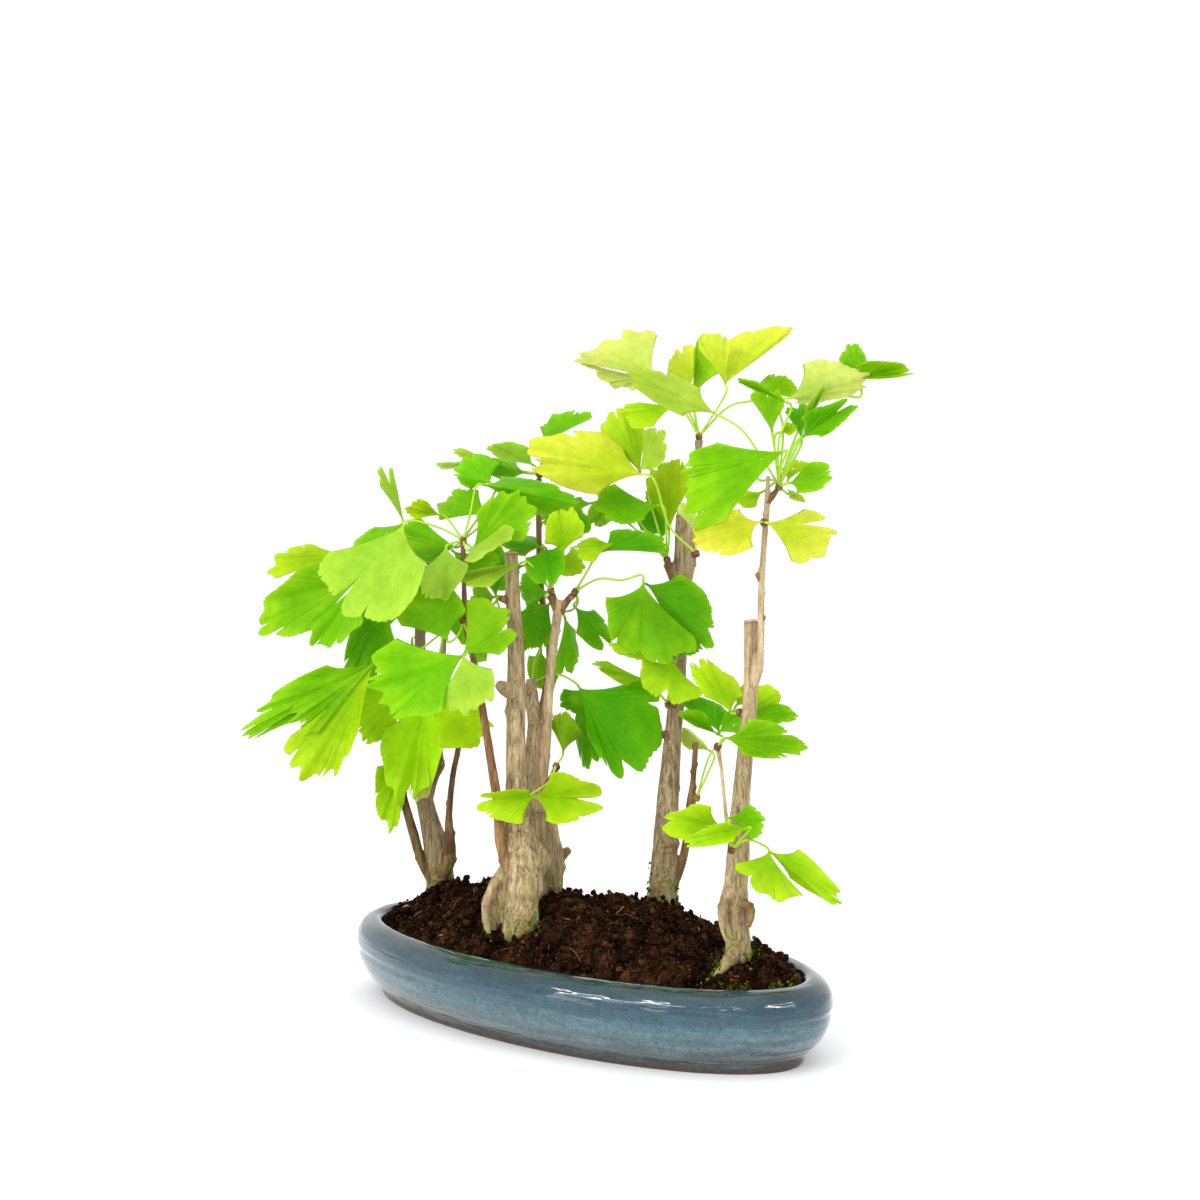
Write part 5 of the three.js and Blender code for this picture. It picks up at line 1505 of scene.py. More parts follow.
    def tint(self, points: Array, stems: Sequence[Stem], paths: Paths,
             facts: tuple[Array, Array, Array], deep: Array, seed: int, moss_height: float) -> Array:
        """The bark's colour per point: kind of wood, fissures, cut tops, lichen, moss, and darker where it
        meets the soil.

        Args:
            points: Positions in mm.
            stems: The clump's stems.
            paths: Each stem's path and radii in mm.
            facts: What nearest says of each point.
            deep: How deep in a fissure each point lies, 0 to 1.
            seed: Picks another pattern.
            moss_height: How high the moss climbs, in mm.

        Returns:
            A linear colour per point.
        """
        owner, girth, from_tip = facts
        kinds = []
        for dark, light, low, high, size, pattern in (
                ("#a49274", "#c5b38d", -0.7, 0.7, (1.7, 1.7, 30.0), 0),
                ("#b39d7c", "#c9b796", -0.5, 0.7, (3.0, 3.0, 14.0), 5),
                ("#7d5b3e", "#a5845a", -0.4, 0.8, (2.0, 2.0, 9.0), 6)):
            kinds.append(mix(shade(dark), shade(light), ease(low, high, noise(points, size, seed + pattern))))
        weathered = ease(0.1, 0.9, noise(points, (6.0, 6.0, 11.0), seed + 4))
        kinds[0] = mix(kinds[0], shade("#93866a"), 0.3 * weathered)
        kind = np.array([list(Wood).index(stem.wood) for stem in stems])[owner]
        tints = np.array(kinds)[kind, np.arange(len(points))]
        tints = mix(tints, shade("#6b543a"), 0.42 * deep)
        tips = np.array([path[-1] for path, _ in paths])[owner]
        ways = np.array([unit(path[-1] - path[-4]) for path, _ in paths])[owner]
        end = ((points - tips) * ways).sum(1)
        cut_stem = np.array([stem.wood is Wood.OLD and stem.marks[-1][3] > 12 for stem in stems])[owner]
        cut = cut_stem * ease(-0.7, -0.35, end) * (from_tip < girth * 1.6)
        tints = mix(tints, shade("#d6c19a"), 0.9 * cut)
        rim = cut_stem * ease(-2.6, -1.0, end) * (1.0 - cut)
        tints = mix(tints, shade("#6b5238"), 0.5 * rim)
        above = points[:, 2] - self.soil.height(points[:, 0], points[:, 1])
        crust = ease(0.1, 0.5, noise(points, 4.5, seed + 7)) * ease(52.0, 8.0, above)
        tints = mix(tints, shade("#a9ad5c"), 0.5 * crust)
        mossy = ease(-0.1, 0.4, noise(points, 2.4, seed + 8)) * ease(moss_height, 2.0, above)
        tints = mix(tints, shade("#6a9019"), 0.85 * mossy)
        # darker in the last few mm above the soil
        return mix(tints, shade("#3a281a"), 0.75 * ease(3.0, -0.5, above))

    def build(self) -> list[Piece]:
        """Makes each clump in place of its plain solid.

        Returns:
            The four pieces.
        """
        bark = GinkgoBark().mix()
        pieces = []
        for index, (node, stems) in enumerate(TREES):
            seed = 40 + 10 * index
            paths = self.paths(stems)
            points, normals, quads = self.grown_together(paths)
            facts = self.nearest(points, paths)
            moved, deep = self.roughened(points, normals, facts[1], paths, seed)
            lift, scaly, cleft = self.burr_share(node, points)
            moved = moved + normals * lift[:, None]
            tints = self.tint(points, stems, paths, facts, deep, seed, self.moss_height[index])
            # painted light and shade: each clump's whole bark brightened or darkened, the back clumps darker
            tints = tints * self.clump_light_and_shade[index]
            flakes = ease(-0.5, 0.7, noise(points, (1.4, 1.4, 1.0), seed + 9))
            flaky = mix(shade("#6f543a"), shade("#a58a62"), flakes)
            # painted shade: the clefts between roots darkened to near-black
            tints = mix(mix(tints, flaky, 0.7 * scaly), shade("#35281b"), 0.8 * cleft)
            surface = Surface(moved, quads, marks={"tint": tints, "girth": facts[1]})
            piece = write_mesh(f"{node}_bark", surface, [bark])
            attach(piece, "root")
            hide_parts(node)
            pieces.append(piece)
        return pieces


# ---------------------------------------------------------------- leaves
class Tone(Enum):
    """Leaf colours by age and light: upper side, underside and margin."""

    DARK = ("#4c9600", "#72a81c", "#84ba0c")
    MID = ("#61a400", "#7eb228", "#92c416")
    FRESH = ("#68a600", "#86b82e", "#9ac814")
    LIGHT = ("#90b434", "#a2c44e", "#aecc40")
    LIME = ("#84b000", "#98bc2c", "#a8c818")
    STRAW = ("#a8bc20", "#b8c448", "#ccd044")
    PALE = ("#a6bf52", "#b8c86e", "#c6d06c")
    OLIVE = ("#74a20a", "#8eb036", "#a0ba28")
    # painted light: a brighter tone that stands for light coming through thin leaves from behind
    GLOWING = ("#9eca04", "#aacd3c", "#b4da20")

    @property
    def yellowing(self) -> float:
        """How strongly the margin's colour runs in from the blade's edge."""
        return 0.9 if self in (Tone.STRAW, Tone.PALE, Tone.LIME) else 0.4


DARK, MID, FRESH, LIGHT, LIME, STRAW, PALE, OLIVE, GLOWING = Tone


@dataclass(frozen=True)
class Leaf:
    """One leaf, set out on the front drawing.

    base is where the stalk meets the blade; left, tip and right lie on the
    blade's outer edge. reach is the blade's true length in mm, and lean says how
    far each of the three comes forward (+) or goes back (-) to have that length.
    cleft is the notch's depth, or its depth and place along the edge. via are
    marks that the stalk bends through, or None for a lobe on another's stalk. A
    twin is such a lobe that is cut in the same way as the one before it.
    """

    base: tuple[float, float, float]
    left: tuple[float, float]
    tip: tuple[float, float]
    right: tuple[float, float]
    reach: float
    lean: float | tuple[float, float, float]
    cleft: float | tuple[float, float]
    tone: Tone
    via: Rows | None = ()
    twin: bool = False

    @property
    def root(self) -> Array:
        """Where the stalk meets the blade, in mm."""
        return DRAWING.place(np.array(self.base))

    @property
    def spokes(self) -> Array:
        """From the root to the left, tip and right of the edge, in mm.

        An edge mark's depth is the base's plus its lean times what its length on the
        drawing lacks to the blade's true length.

        Returns:
            Three vectors.
        """
        leans = np.broadcast_to(np.asarray(self.lean, float), (3,))
        edge = np.array([self.left, self.tip, self.right], float)
        flat = np.hypot(*(edge - self.base[:2]).T) * DRAWING.scale(self.base[2])
        full = self.reach * np.array([0.92, 1.0, 0.92])
        depth = self.base[2] + leans * np.sqrt(np.maximum(0.0, full ** 2 - flat ** 2))
        return DRAWING.place(np.column_stack([edge, depth])) - self.root

    @property
    def notch(self) -> tuple[float, float]:
        """The notch's depth and its place along the edge, from -1 to 1."""
        return self.cleft if isinstance(self.cleft, tuple) else (self.cleft, 0.0)


@dataclass(frozen=True)
class Spray:
    """The whorl of leaves on one spur, the spur being marked on the front drawing."""

    name: str
    spur: tuple[float, float, float]
    leaves: tuple[Leaf, ...]


SPRAYS: tuple[Spray, ...] = (
    Spray("leaves_b_bud", (463, 540, 25), (
        Leaf((403, 527, 32), (315, 566), (350, 610), (420, 584), 52, (-0.4, 0.3, 1), (0.35, -0.3), LIGHT,
             ((440, 528, 28),)),
        Leaf((456, 547, 16), (412, 517), (398, 540), (424, 562), 32, -0.8, 0.1, MID),
        Leaf((446, 548, 30), (416, 582), (438, 597), (467, 572), 29, 0.6, 0, LIGHT),
        Leaf((454, 552, 14), (500, 557), (488, 577), (462, 582), 28, -0.3, 0, MID),
        Leaf((474, 547, 26), (484, 503), (521, 495), (531, 532), 38, 0.3, 0.1, FRESH),
        Leaf((469, 550, 34), (510, 524), (503, 542), (468, 559), 27, 0.7, 0, LIGHT),
        Leaf((485, 485, 24), (520, 477), (574, 497), (538, 514), 48, -0.5, 0, DARK, ((470, 515, 25),)),
        Leaf((490, 483, 12), (464, 486), (454, 465), (496, 457), 29, -0.6, (0.2, -0.3), MID),
        Leaf((486, 514, 8), (472, 488), (445, 497), (437, 517), 29, -0.5, 0, MID),
        Leaf((440, 515, 12), (423, 501), (408, 508), (412, 518), 24, 0.7, 0, LIME),
    )),
    Spray("leaves_b_shoot", (463, 621, 26.5), (
        Leaf((447, 640, 30), (393, 616), (414, 588), (462, 600), 31, 0.3, 0, FRESH, ((459, 634, 28),)),
        Leaf((462, 656, 34), (382, 645), (378, 696), (428, 719), 50, 0.3, 0.1, FRESH, ((469, 640, 31),)),
        Leaf((463, 656, 37), (441, 703), (470, 711), (496, 680), 31, 0.4, 0.08, LIGHT, None),
        Leaf((464, 654, 33), (472, 598), (509, 620), (507, 650), 33, 0.3, (0.2, 0.1), FRESH, None),
        Leaf((494, 597, 4), (479, 580), (471, 600), (485, 614), 22, -0.5, 0, OLIVE,
             ((475, 619, 24), (488, 610, 12))),
    )),
    Spray("leaves_b_fork", (551, 590, 7), (
        Leaf((521, 563, 24), (480, 568), (461, 578), (482, 588), 38, 0.6, 0, LIGHT, ((540, 577, 16),)),
        Leaf((541, 547, 10), (528, 534), (502, 541), (517, 555), 27, -0.6, 0, DARK),
        Leaf((543, 549, 14), (524, 566), (549, 584), (564, 552), 27, 0.5, 0.1, DARK),
        Leaf((546, 592, -4), (524, 572), (520, 596), (530, 613), 25, -0.7, 0, MID),
        Leaf((563, 552, 16), (543, 533), (568, 509), (584, 529), 28, 0.4, 0.1, LIME),
        Leaf((564, 556, 8), (577, 549), (584, 570), (564, 577), 20, -0.7, 0.1, LIME),
        Leaf((549, 604, -6), (526, 606), (527, 642), (551, 644), 28, 0.12, 0, DARK, ((545, 596, -1),)),
    )),
    Spray("leaves_b_tip", (575.5, 591, 8), (
        Leaf((603, 551, 8), (618, 527), (652, 532), (669, 549), 36, -0.3, 0.1, DARK, ((588, 570, 8),)),
        Leaf((611, 544, 10), (590, 538), (575, 549), (588, 562), 22, 0.5, 0.2, LIME, None),
        Leaf((643, 585, 30), (603, 612), (646, 658), (695, 648), 42, 0.2, (0.1, -0.1), MID,
             ((598, 579, 14), (622, 580, 24))),
        Leaf((648, 585, 20), (690, 656), (713, 630), (694, 580), 39, -0.2, 0.1, DARK, None),
        Leaf((576, 608, -6), (602, 617), (609, 646), (582, 641), 32, -0.4, 0.3, DARK, ((577, 600, 2),)),
        Leaf((565, 618, -12), (580, 638), (577, 666), (557, 672), 31, -0.5, 0.1, MID,
             ((578, 602, -1), (572, 610, -8))),
    )),
    Spray("leaves_b_top", (539, 474, -8), (
        Leaf((533, 465, -2), (524, 445), (490, 447), (497, 458), 26, 0.4, 0, LIGHT),
        Leaf((526, 473, -10), (506, 459), (478, 461), (500, 480), 28, -0.3, 0, MID),
        Leaf((500, 466, -24), (477, 456), (456, 447), (460, 458), 28, -0.4, 0, LIGHT),
        Leaf((470, 464, -34), (454, 460), (437, 463), (446, 468), 22, -0.6, 0, LIGHT),
        Leaf((546, 443, -14), (539, 424), (552, 416), (593, 412), 28, -0.5, 0, MID),
    )),
    Spray("leaves_b_knob", (533, 682, -10), (
        Leaf((580, 689, -5), (594, 750), (632, 770), (659, 690), 52, (0.3, 0.6, -0.2), 0.14, DARK,
             ((556, 674, -5),)),
        Leaf((582, 692, -9), (574, 732), (584, 765), (600, 748), 42, -0.2, 0, DARK, None),
        Leaf((583, 690, -6), (560, 692), (564, 708), (589, 716), 18, -0.4, 0, DARK, None),
        Leaf((541, 652, -24), (526, 664), (541, 690), (560, 678), 24, -0.4, 0, OLIVE, ((534, 664, -18),)),
    )),
    Spray("leaves_b_low", (556, 766, 12), (
        Leaf((563, 752, 2), (551, 722), (563, 713), (581, 730), 22, -0.5, 0, OLIVE),
        Leaf((535, 797, 32), (565, 772), (600, 801), (560, 824), 34, 0.3, 0.3, LIME, ((548, 783, 26),)),
        Leaf((534, 797, 32), (519, 789), (480, 801), (511, 825), 30, 0.4, 0.3, LIME, None),
    )),
    Spray("leaves_d_right", (696, 553, 2.2), (
        Leaf((640, 474, 12), (574, 492), (531, 450), (604, 432), 58, -0.3, (0.12, -0.3), STRAW,
             ((670, 527, 4),)),
        Leaf((640, 472, 4), (601, 430), (621, 410), (644, 426), 36, -0.4, 0, LIME, None),
        Leaf((640, 470, 8), (648, 426), (665, 440), (656, 466), 28, 0.5, 0.1, LIGHT, None),
        Leaf((694, 530, 6), (676, 510), (685, 504), (696, 512), 16, 0.6, 0, PALE),
    )),
    Spray("leaves_d_left", (667, 559.5, -6), (
        Leaf((592, 503, -18), (572, 498), (541, 511), (546, 528), 31, -0.3, 0, FRESH,
             ((640, 533, -12), (613, 511, -17))),
        Leaf((669, 530, -26), (645, 488), (666, 463), (692, 471), 38, -0.4, 0.1, LIME),
        Leaf((656, 506, -14), (604, 486), (600, 513), (634, 522), 31, 0.3, 0.1, MID),
        Leaf((648, 500, -30), (633, 514), (655, 536), (671, 526), 24, -0.6, 0, DARK),
        Leaf((611, 506, -36), (590, 506), (592, 526), (612, 521), 20, -0.7, 0.1, OLIVE),
    )),
    Spray("leaves_d_top", (699, 436, -4), (
        Leaf((674, 406, 6), (643, 429), (624, 413), (631, 402), 30, 0.4, 0, LIME),
        Leaf((653, 378, -10), (574, 360), (601, 342), (649, 330), 44, -0.3, (0.12, 0.35), PALE,
             ((688, 411, -7),)),
        Leaf((651, 379, -10), (629, 391), (607, 376), (580, 363), 40, -0.3, 0.1, PALE, None, twin=True),
        Leaf((690, 388, -24), (666, 370), (680, 347), (700, 351), 26, -0.6, 0.15, STRAW),
        Leaf((693, 396, -2), (694, 358), (703, 337), (723, 360), 31, 0.3, 0, LIME),
        Leaf((725, 383, 6), (697, 342), (713, 335), (729, 341), 30, 0.4, 0, STRAW, ((711, 418, 0),)),
        Leaf((725, 383, 4), (729, 341), (789, 330), (757, 357), 44, -0.2, 0, STRAW, None),
        Leaf((762, 393, -2), (761, 379), (778, 373), (798, 394), 20, -0.5, 0.2, FRESH, ((730, 406, 0),)),
    )),
    Spray("leaves_d_low", (697, 797, 9), (
        Leaf((717, 734, 26), (690, 724), (681, 713), (700, 711), 24, 0.6, 0, MID, ((711, 753, 20),)),
        Leaf((719, 731, 20), (688, 709), (685, 700), (727, 709), 26, -0.2, 0, DARK, None),
        Leaf((719, 732, 28), (728, 710), (741, 713), (746, 731), 18, 0.6, 0, FRESH, None),
        Leaf((710, 751, -4), (683, 745), (684, 728), (700, 737), 22, -0.6, 0, PALE, ((707, 775, 2),)),
    )),
    Spray("leaves_d_knob", (668, 704, 8), (
        Leaf((674, 663, 20), (640, 664), (652, 692), (701, 697), 31, 0.3, (0.3, 0.3), LIME,
             ((657, 686, 14),)),
        Leaf((646, 680, 6), (600, 661), (596, 668), (620, 684), 28, -0.2, 0.12, OLIVE, ((658, 692, 8),)),
        Leaf((663, 654, 12), (618, 642), (613, 650), (640, 661), 28, -0.2, 0, LIME),
    )),
    Spray("leaves_e_top", (779, 486, 85), (
        Leaf((772, 431, 86), (749, 394), (766, 391), (784, 399), 24, 0.5, 0.15, FRESH),
        Leaf((783, 401, 92), (751, 379), (741, 381), (748, 388), 27, 0.7, 0, FRESH, ((779, 440, 88),)),
        Leaf((782, 432, 79), (786, 422), (797, 427), (792, 435), 9, 0.3, 0, LIME),
        Leaf((791, 398, 66), (822, 359), (867, 384), (812, 404), 42, -0.2, 0.1, PALE, ((783, 430, 74),)),
        Leaf((802, 436, 86), (811, 402), (829, 384), (818, 403), 33, 0.5, 0, LIGHT),
        Leaf((803, 437, 96), (812, 409), (853, 405), (833, 431), 35, 0.3, (0.3, -0.2), DARK),
        Leaf((801, 437, 78), (785, 409), (798, 405), (811, 404), 21, -0.5, 0.1, DARK),
        Leaf((858, 379, 56), (839, 362), (852, 343), (867, 357), 20, -0.3, 0.1, FRESH,
             ((796, 436, 66), (820, 392, 54))),
        Leaf((855, 378, 60), (868, 360), (911, 372), (880, 379), 31, 0.3, 0.1, FRESH, None),
        Leaf((790, 483, 94), (813, 460), (831, 474), (806, 493), 26, 0.4, 0.1, FRESH),
        Leaf((788, 480, 74), (782, 465), (797, 460), (810, 463), 18, -0.6, 0, LIME),
        Leaf((788, 494, 84), (791, 490), (807, 501), (793, 500), 12, -0.6, 0, LIME),
        Leaf((782, 452, 100), (700, 447), (687, 490), (708, 530), 54, 0.2, 0.1, FRESH, ((780, 470, 94),)),
        Leaf((757, 478, 74), (752, 467), (731, 455), (713, 460), 27, -0.4, 0, LIME, ((773, 480, 77),)),
        Leaf((762, 492, 76), (752, 508), (736, 503), (740, 492), 20, -0.5, 0, LIME, ((774, 483, 76.5),)),
        Leaf((714, 413, 60), (664, 408), (630, 371), (682, 377), 49, -0.2, 0.08, LIGHT,
             ((762, 458, 72), (742, 430, 66))),
    )),
    Spray("leaves_e_shoot", (764, 522, 88), (
        Leaf((758, 522, 92), (726, 511), (694, 537), (738, 555), 36, 0.2, 0.1, STRAW),
        Leaf((768, 523, 92), (816, 511), (831, 538), (803, 564), 36, -0.2, (0.4, -0.45), STRAW),
    )),
    Spray("leaves_e_trunk", (740, 712, 73), (
        Leaf((731, 712, 66), (697, 687), (697, 661), (739, 684), 36, -0.3, 0.12, LIME),
        Leaf((736, 706, 56), (738, 690), (750, 683), (764, 700), 20, -0.7, 0, LIME),
        Leaf((745, 712, 54), (765, 684), (781, 696), (776, 708), 24, -0.5, 0, LIME),
        Leaf((746, 714, 52), (779, 703), (797, 718), (768, 723), 29, 0.2, 0.1, FRESH),
    )),
    Spray("leaves_e_twig", (718, 746, 90), (
        Leaf((726, 738, 98), (766, 720), (803, 751), (757, 758), 40, 0.2, (0.25, 0.35), FRESH),
    )),
    Spray("leaves_e_low", (732, 849, 96), (
        Leaf((720, 826, 102), (700, 804), (666, 822), (680, 841), 29, 0.3, 0.1, LIME),
        Leaf((747, 828, 108), (716, 824), (686, 844), (722, 845), 32, 0.3, 0.1, LIME),
        Leaf((730, 818, 98), (753, 806), (764, 823), (755, 840), 18, 0.5, 0.15, FRESH, ((733, 834, 99),)),
        Leaf((769, 853, 92), (736, 869), (768, 890), (800, 899), 34, 0.6, 0, LIME, ((747, 840, 98),)),
        Leaf((770, 852, 88), (803, 888), (839, 901), (813, 859), 42, -0.2, 0, LIME, None),
    )),
    Spray("leaves_a_top", (428, 561, -50), (
        Leaf((345, 556, -38), (302, 542), (279, 556), (269, 577), 42, -0.2, 0, LIME, ((395, 550, -44),)),
        Leaf((360, 578, -26), (296, 570), (262, 624), (303, 634), 54, 0.2, 0, FRESH, ((400, 565, -36),)),
        Leaf((361, 580, -22), (308, 632), (325, 643), (357, 629), 40, 0.4, 0, FRESH, None),
        Leaf((403, 521, -24), (378, 479), (389, 468), (398, 488), 34, (0.6, 0, -0.6), 0.45, LIGHT,
             ((385, 540, -32),)),
        Leaf((402, 524, -40), (364, 532), (350, 556), (375, 575), 32, -0.5, 0, FRESH),
    )),
    Spray("leaves_a_twig", (444, 631, -46), (
        Leaf((388, 592, -30), (355, 618), (348, 680), (390, 665), 50, -0.2, 0, DARK, ((420, 605, -36),)),
        Leaf((372, 665, -14), (303, 675), (252, 726), (268, 736), 74, 0.1, 0, FRESH, ((410, 655, -22),)),
        Leaf((372, 666, -12), (283, 750), (316, 772), (352, 748), 61, 0.3, 0, LIME, None),
        Leaf((373, 665, -11), (289, 708), (301, 722), (312, 736), 51, 0.1, 0, FRESH, None, twin=True),
        Leaf((430, 697, -20), (477, 708), (487, 729), (447, 751), 33, 0.3, 0.08, GLOWING, ((436, 665, -30),)),
    )),
    Spray("leaves_a_back", (421, 641, -62), (
        Leaf((412, 642, -80), (393, 692), (412, 708), (437, 690), 35, -0.3, 0, MID),
        Leaf((440, 620, -84), (468, 600), (482, 622), (470, 646), 28, -0.4, 0, FRESH),
        Leaf((403, 614, -86), (382, 590), (366, 610), (378, 632), 30, -0.4, 0.1, DARK),
    )),
    Spray("leaves_c_back", (541, 573, -18.5), (
        Leaf((522, 566, -38), (494, 550), (488, 574), (503, 592), 28, -0.4, 0, MID),
        Leaf((560, 548, -42), (550, 514), (573, 505), (592, 524), 32, -0.4, 0.1, DARK),
        Leaf((531, 604, -40), (507, 624), (519, 648), (543, 641), 30, -0.3, 0, DARK),
    )),
    Spray("leaves_b_back", (514, 645, 4.5), (
        Leaf((494, 632, -16), (470, 622), (466, 648), (482, 664), 26, -0.4, 0, MID),
        Leaf((496, 596, -22), (474, 566), (484, 546), (509, 556), 32, -0.3, 0.1, DARK, ((506, 620, -10),)),
    )),
    Spray("leaves_d_back", (685, 541, -11), (
        Leaf((672, 500, -52), (646, 488), (655, 466), (684, 470), 30, -0.4, 0.1, MID),
        Leaf((700, 512, -46), (694, 486), (714, 478), (728, 498), 26, -0.4, 0, FRESH),
    )),
    Spray("leaves_a_left", (389, 702, -60), (
        Leaf((408, 687, -46), (364, 680), (352, 723), (384, 744), 38, 0.3, 0.1, GLOWING),
        Leaf((427, 694, -34), (380, 748), (405, 798), (444, 752), 55, 0.2, 0.08, GLOWING, ((402, 690, -50),)),
        Leaf((405, 748, -50), (373, 783), (390, 827), (404, 802), 42, 0.2, 0, GLOWING, ((400, 720, -56),)),
        Leaf((432, 742, -44), (411, 785), (420, 799), (433, 785), 30, 0.1, 0, PALE, ((412, 718, -50),)),
    )),
)


@dataclass
class Foliage:
    """The fan leaves with their stalks, whorl by whorl, each whorl on a ringed spur."""

    thickness: float = 0.34
    stalk_radius: float = 0.7
    neck: float = 0.045
    fullness: float = 1.15
    fill: float = 1.05
    waist: float = 0.82
    corner_rounding: float = 0.15
    notch_width: float = 0.09
    scallop_pitch: float = 3.3
    scallop_depth: float = 1.35
    tooth_depth: float = 0.4
    slit_spans: Rows = ((-0.8, 0.8), (0.04, 0.15), (0.012, 0.024))
    column_limits: tuple[int, int] = (22, 78)
    stalk_sides: int = 8
    spur_rings: int = 19
    spur_sides: int = 20
    scar_count: int = 6
    rows: tuple[float, ...] = (0.0, 0.03, 0.08, 0.15, 0.25, 0.37, 0.5, 0.63, 0.76, 0.87, 0.95, 0.985, 1.0)
    finish_slots: dict[str, tuple[str, ...]] = field(default_factory=lambda: {
        "leaf_deep": ("leaves_b_tip", "leaves_b_knob", "leaves_b_back", "leaves_c_back", "leaves_a_back"),
        "leaf_yellow": ("leaves_d_right", "leaves_d_top", "leaves_d_knob", "leaves_e_shoot",
                        "leaves_e_trunk", "leaves_a_twig", "leaves_a_left"),
    })

    def slits(self, leaf: Leaf, number: int) -> Array:
        """Narrow tears in a blade's edge, more of them in a longer blade.

        Args:
            leaf: The leaf.
            number: Its number, which picks the tears.

        Returns:
            Rows of place from -1 to 1, depth as a share of the reach, and width.
        """
        draw = np.random.default_rng(1000 + number)
        count = 1 + int(leaf.reach > 26) + int(leaf.reach > 40)
        return np.column_stack([draw.uniform(low, high, count) for low, high in self.slit_spans])

    def stations(self, leaf: Leaf, slits: Array) -> Array:
        """The places across a blade at which points stand: even ones, and more at notch and slits.

        Args:
            leaf: The leaf.
            slits: Its tears.

        Returns:
            One row of places from -1 to 1.
        """
        columns = int(np.clip(leaf.reach * (1.5), *self.column_limits))
        even = np.linspace(-1.0, 1.0, columns)
        extra = slits[:, :1] + slits[:, 2:] * np.array([[-1.4, -0.6, 0.0, 0.6, 1.4]])
        every = np.concatenate([even, np.clip(extra.ravel(), -0.99, 0.99), [leaf.notch[1]]])
        return np.unique(every)[None, :]

    def rim(self, leaf: Leaf, side: Array, seed: float, slits: Array) -> Array:
        """The outer edge as a share of the reach.

        Rounded corners, the notch and low waves give its form; scallops parted by
        sharp nicks, fine teeth and narrow slits give its cut.

        Args:
            leaf: The leaf.
            side: Places across the blade from -1 to 1.
            seed: A number from 0 to 1 that shifts the waves.
            slits: The tears.

        Returns:
            One share per place.
        """
        depth, at = leaf.notch
        form = self.fill * (1.0 - self.corner_rounding * side ** 6)
        form = form * (1.0 - depth * np.exp(-((side - at) / self.notch_width) ** 2))
        form = form * (1.0 + 0.022 * np.sin(9 * side + 6.28 * seed) + 0.016 * np.sin(17 * side + 12.6 * seed))
        form = form * (1.0 + 0.03 * np.sin(leaf.reach * 0.3 * side + 23.0 * seed))
        lobes = leaf.reach * 1.9 / self.scallop_pitch
        phase = lobes * np.pi / 2 * side + 1.1 * np.sin(2.3 * side + 9.0 * seed) + 20.0 * seed
        uneven = 0.65 + 0.5 * np.sin(5.1 * side + 31.0 * seed)
        scallop = uneven * (1.0 - np.abs(np.cos(phase)) ** 0.55)
        teeth = self.tooth_depth * np.abs(np.sin(3.7 * phase + 4.0 * seed))
        cut = form * (1.0 - (self.scallop_depth * scallop + teeth) / leaf.reach)
        for place, share, width in slits:
            cut = cut * (1.0 - share * np.exp(-((side - place) / width) ** 2))
        return cut

    def skins(self, middle: Array, lift: Array, end: Array) -> tuple[Surface, tuple[slice, slice]]:
        """Two skins either side of a middle sheet, sewn together along its sides and margin.

        The open edge at the root closes in a fan of triangles round one end point.

        Args:
            middle: The sheet's points in mm by row, the root's first, and by place across.
            lift: From each of them to the upper skin.
            end: The end point in mm, inside the stalk.

        Returns:
            The closed body, its points being the upper skin, the lower and the end; and
            which of the sheet's points the lower skin has for itself.
        """
        rows, columns = middle.shape[:2]
        grid = np.arange(rows * columns).reshape(rows, columns)
        inner = (slice(0, rows - 1), slice(1, columns - 1))
        under = grid.copy()
        own = (rows - 1) * (columns - 2)
        under[inner] = rows * columns + np.arange(own).reshape(rows - 1, columns - 2)
        points = np.vstack([(middle + lift).reshape(-1, 3), (middle - lift)[inner].reshape(-1, 3), end])
        quads = []
        for sheet, flip in ((grid, False), (under, True)):
            corners = [sheet[:-1, :-1], sheet[:-1, 1:], sheet[1:, 1:], sheet[1:, :-1]]
            quads.append(np.stack(corners[::-1] if flip else corners, axis=-1).reshape(-1, 4))
        ring = np.concatenate([grid[0], under[0, -2:0:-1]])
        tris = np.stack([np.full(len(ring), len(points) - 1), np.roll(ring, -1), ring], axis=-1)
        return Surface(points, np.vstack(quads), tris), inner

    def blade(self, leaf: Leaf, number: int) -> Surface:
        """One blade as a closed lens-thin body.

        A point of its middle sheet is root + heading * length * out * rim, heading
        and length turning evenly from the left over the tip to the right spoke,
        plus a droop and ripples square to the blade. The two skins lie either side,
        meet at the margin, and close round the stalk's end at the root.

        Args:
            leaf: The leaf.
            number: Its number, which picks its waves and tears.

        Returns:
            The blade with its tint and, for the veins, the angle, the distance from
            the root in mm and the share of the way out.
        """
        seed, slits = scatter(number), self.slits(leaf, number)
        root, spokes = leaf.root, leaf.spokes
        side, out = self.stations(leaf, slits), np.array(self.rows)[:, None]
        along, across = spokes[1], spokes[2] - spokes[0]
        face = unit(np.cross(along, across))
        face = face if face @ (UP - DRAWING.look) > 0 else -face
        turn = self.fullness * side * (self.waist + (1.0 - self.waist) * out)
        weights = np.stack([turn * (turn - 1) / 2, 1 - turn ** 2, turn * (turn + 1) / 2], axis=-1)
        length = weights @ np.linalg.norm(spokes, axis=1)
        run = length * out * self.rim(leaf, side, seed, slits)
        broad = 0.05 * side ** 2 - 0.06 + 0.05 * np.sin(4.4 * side + 6.28 * seed)
        ripple = 0.018 * np.sin(12.5 * side + 11.0 * seed)
        ripple = ripple + 0.007 * np.sin(27.0 * side + 5.0 * seed) * out ** 2
        bend = leaf.reach * (broad + ripple) * out ** 2
        middle = root + unit(weights @ spokes) * run[..., None] + face * bend[..., None]
        lens = np.sqrt(np.maximum(0.0, 1.0 - np.abs(side) ** 24)) * np.sqrt(np.maximum(0.0, 1.0 - out ** 30))
        swell = self.stalk_radius * np.exp(-out / self.neck)
        middle = middle + unit(across) * (side * swell)[..., None]
        lift = (self.thickness / 2 * lens + swell * np.sqrt(1.0 - side ** 2))[..., None] * face
